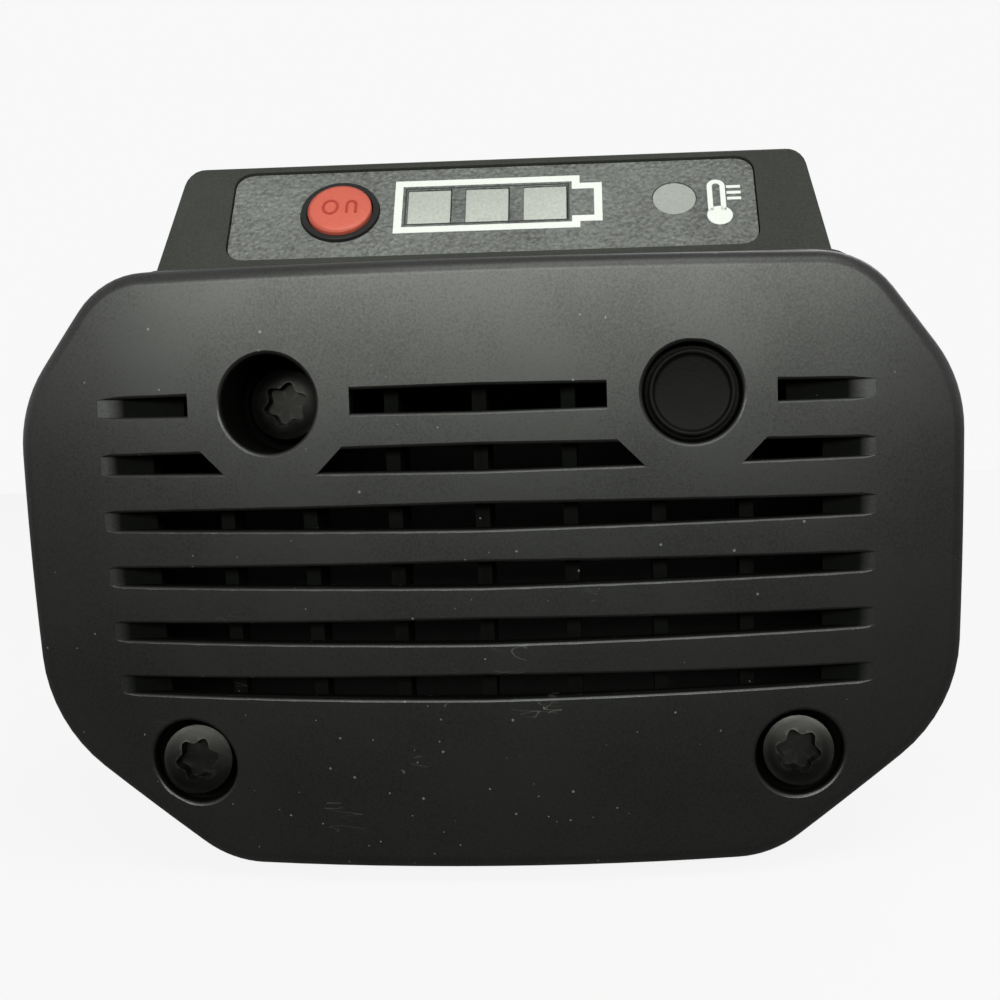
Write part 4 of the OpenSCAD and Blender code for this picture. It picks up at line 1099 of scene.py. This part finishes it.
# Shows a white background to the camera and, in part, to glossy and transmitted rays;
# all other rays meet the plain shader, so that the white doesn't light the pack
def whiteSeen(tree, plain, white, target, direct, mirror):
    path = node(tree, "ShaderNodeLightPath").outputs
    mirrored = calc(tree, "MAXIMUM", path["Is Glossy Ray"], path["Is Transmission Ray"])
    seen = calc(tree, "MAXIMUM", calc(tree, "MULTIPLY", path["Is Camera Ray"], direct),
                calc(tree, "MULTIPLY", mirrored, mirror))
    blend = node(tree, "ShaderNodeMixShader", {0: seen})
    tree.links.new(plain.outputs[0], blend.inputs[1])
    tree.links.new(white.outputs[0], blend.inputs[2])
    tree.links.new(blend.outputs[0], target.inputs["Surface"])


# Pale paper that keeps the pack's soft shadow
def makeFloor():
    half = studio["floorSize"] / 2 / mm
    corners = [(-half, -half, 0), (half, -half, 0), (half, half, 0), (-half, half, 0)]
    floor = meshObject("floor", corners, [(0, 1, 2, 3)])
    material, tree, shader, coords = newMaterial("floorPaper", studio["floorPale"][:3], 0.9, 0.0, 0.2)
    seen = node(tree, "ShaderNodeLightPath").outputs["Is Camera Ray"]
    feed(tree, shader.inputs["Base Color"], mixColour(tree, seen, studio["floorBounce"], studio["floorPale"]))
    shine = node(tree, "ShaderNodeEmission", {"Color": (1, 1, 1, 1), "Strength": 1.0})
    whiteSeen(tree, shader, shine, tree.nodes["Material Output"], studio["floorWhite"], studio["floorMirror"])
    floor.data.materials.append(material)


def makeWorld():
    world = bpy.data.worlds.new("studio")
    scene.world = world
    world.use_nodes = True
    tree = world.node_tree
    back = tree.nodes["Background"]
    back.inputs["Color"].default_value = (1, 1, 1, 1)
    back.inputs["Strength"].default_value = studio["worldStrength"]
    white = node(tree, "ShaderNodeBackground", {"Color": (1, 1, 1, 1), "Strength": 1.0})
    whiteSeen(tree, back, white, tree.nodes["World Output"], studio["skyWhite"], studio["skyMirror"])


# Lamps in metres and watts
lamps = {
    "frontStrip": {"place": (0.0, -0.82, 0.24), "target": (0, -0.05, 0.05), "size": (1.6, 0.20), "power": 8.1,
                   "colour": (0.96, 1.0, 0.92)},
    "topSoftbox": {"place": (0.15, -0.48, 0.62), "target": (0, -0.02, 0.05), "size": (0.8, 0.35), "power": 2.0,
                   "colour": (0.97, 1.0, 0.95)},
    "backRim": {"place": (0.3, 0.7, 0.5), "target": (0, 0, 0.03), "size": (0.5, 0.5), "power": 1.3,
                "colour": (1, 1, 1)},
}


def areaLight(name, lamp):
    data = bpy.data.lights.new(name, "AREA")
    data.color = lamp["colour"]
    data.shape = "RECTANGLE"
    data.size, data.size_y = lamp["size"]
    data.energy = lamp["power"]
    made = bpy.data.objects.new(name, data)
    scene.collection.objects.link(made)
    made.location = lamp["place"]
    made.rotation_euler = (Vector(lamp["target"]) - made.location).to_track_quat("-Z", "Y").to_euler()


# Camera fitted to the photograph: place in mm, focal length in pixels of its frame, angles in degrees
cameraFit = {"place": (10.06, -194.2, 41.81), "focal": 1659.275, "frame": 1000, "sensor": 36.0,
             "yaw": -3.532, "pitch": 3.037, "roll": 1.576}


def makeCamera():
    yaw, pitch, roll = (radians(cameraFit[key]) for key in ("yaw", "pitch", "roll"))
    ahead = Vector((sin(yaw) * cos(pitch), cos(yaw) * cos(pitch), -sin(pitch)))
    right = Vector((cos(yaw), -sin(yaw), 0))
    down = ahead.cross(right)
    across = cos(roll) * right + sin(roll) * down
    below = -sin(roll) * right + cos(roll) * down
    data = bpy.data.cameras.new("camera")
    data.sensor_fit = "HORIZONTAL"
    data.sensor_width = cameraFit["sensor"]
    data.lens = cameraFit["focal"] * cameraFit["sensor"] / cameraFit["frame"]
    data.clip_start = 0.01
    camera = bpy.data.objects.new("camera", data)
    scene.collection.objects.link(camera)
    turn = Matrix((across, -below, -ahead)).transposed().to_4x4()
    camera.matrix_world = Matrix.Translation(Vector(cameraFit["place"]) * mm) @ turn
    scene.camera = camera


makeFloor()
makeWorld()
for name, lamp in lamps.items():
    areaLight(name, lamp)
makeCamera()
scene.view_settings.view_transform = "Standard"
print("studio ready")
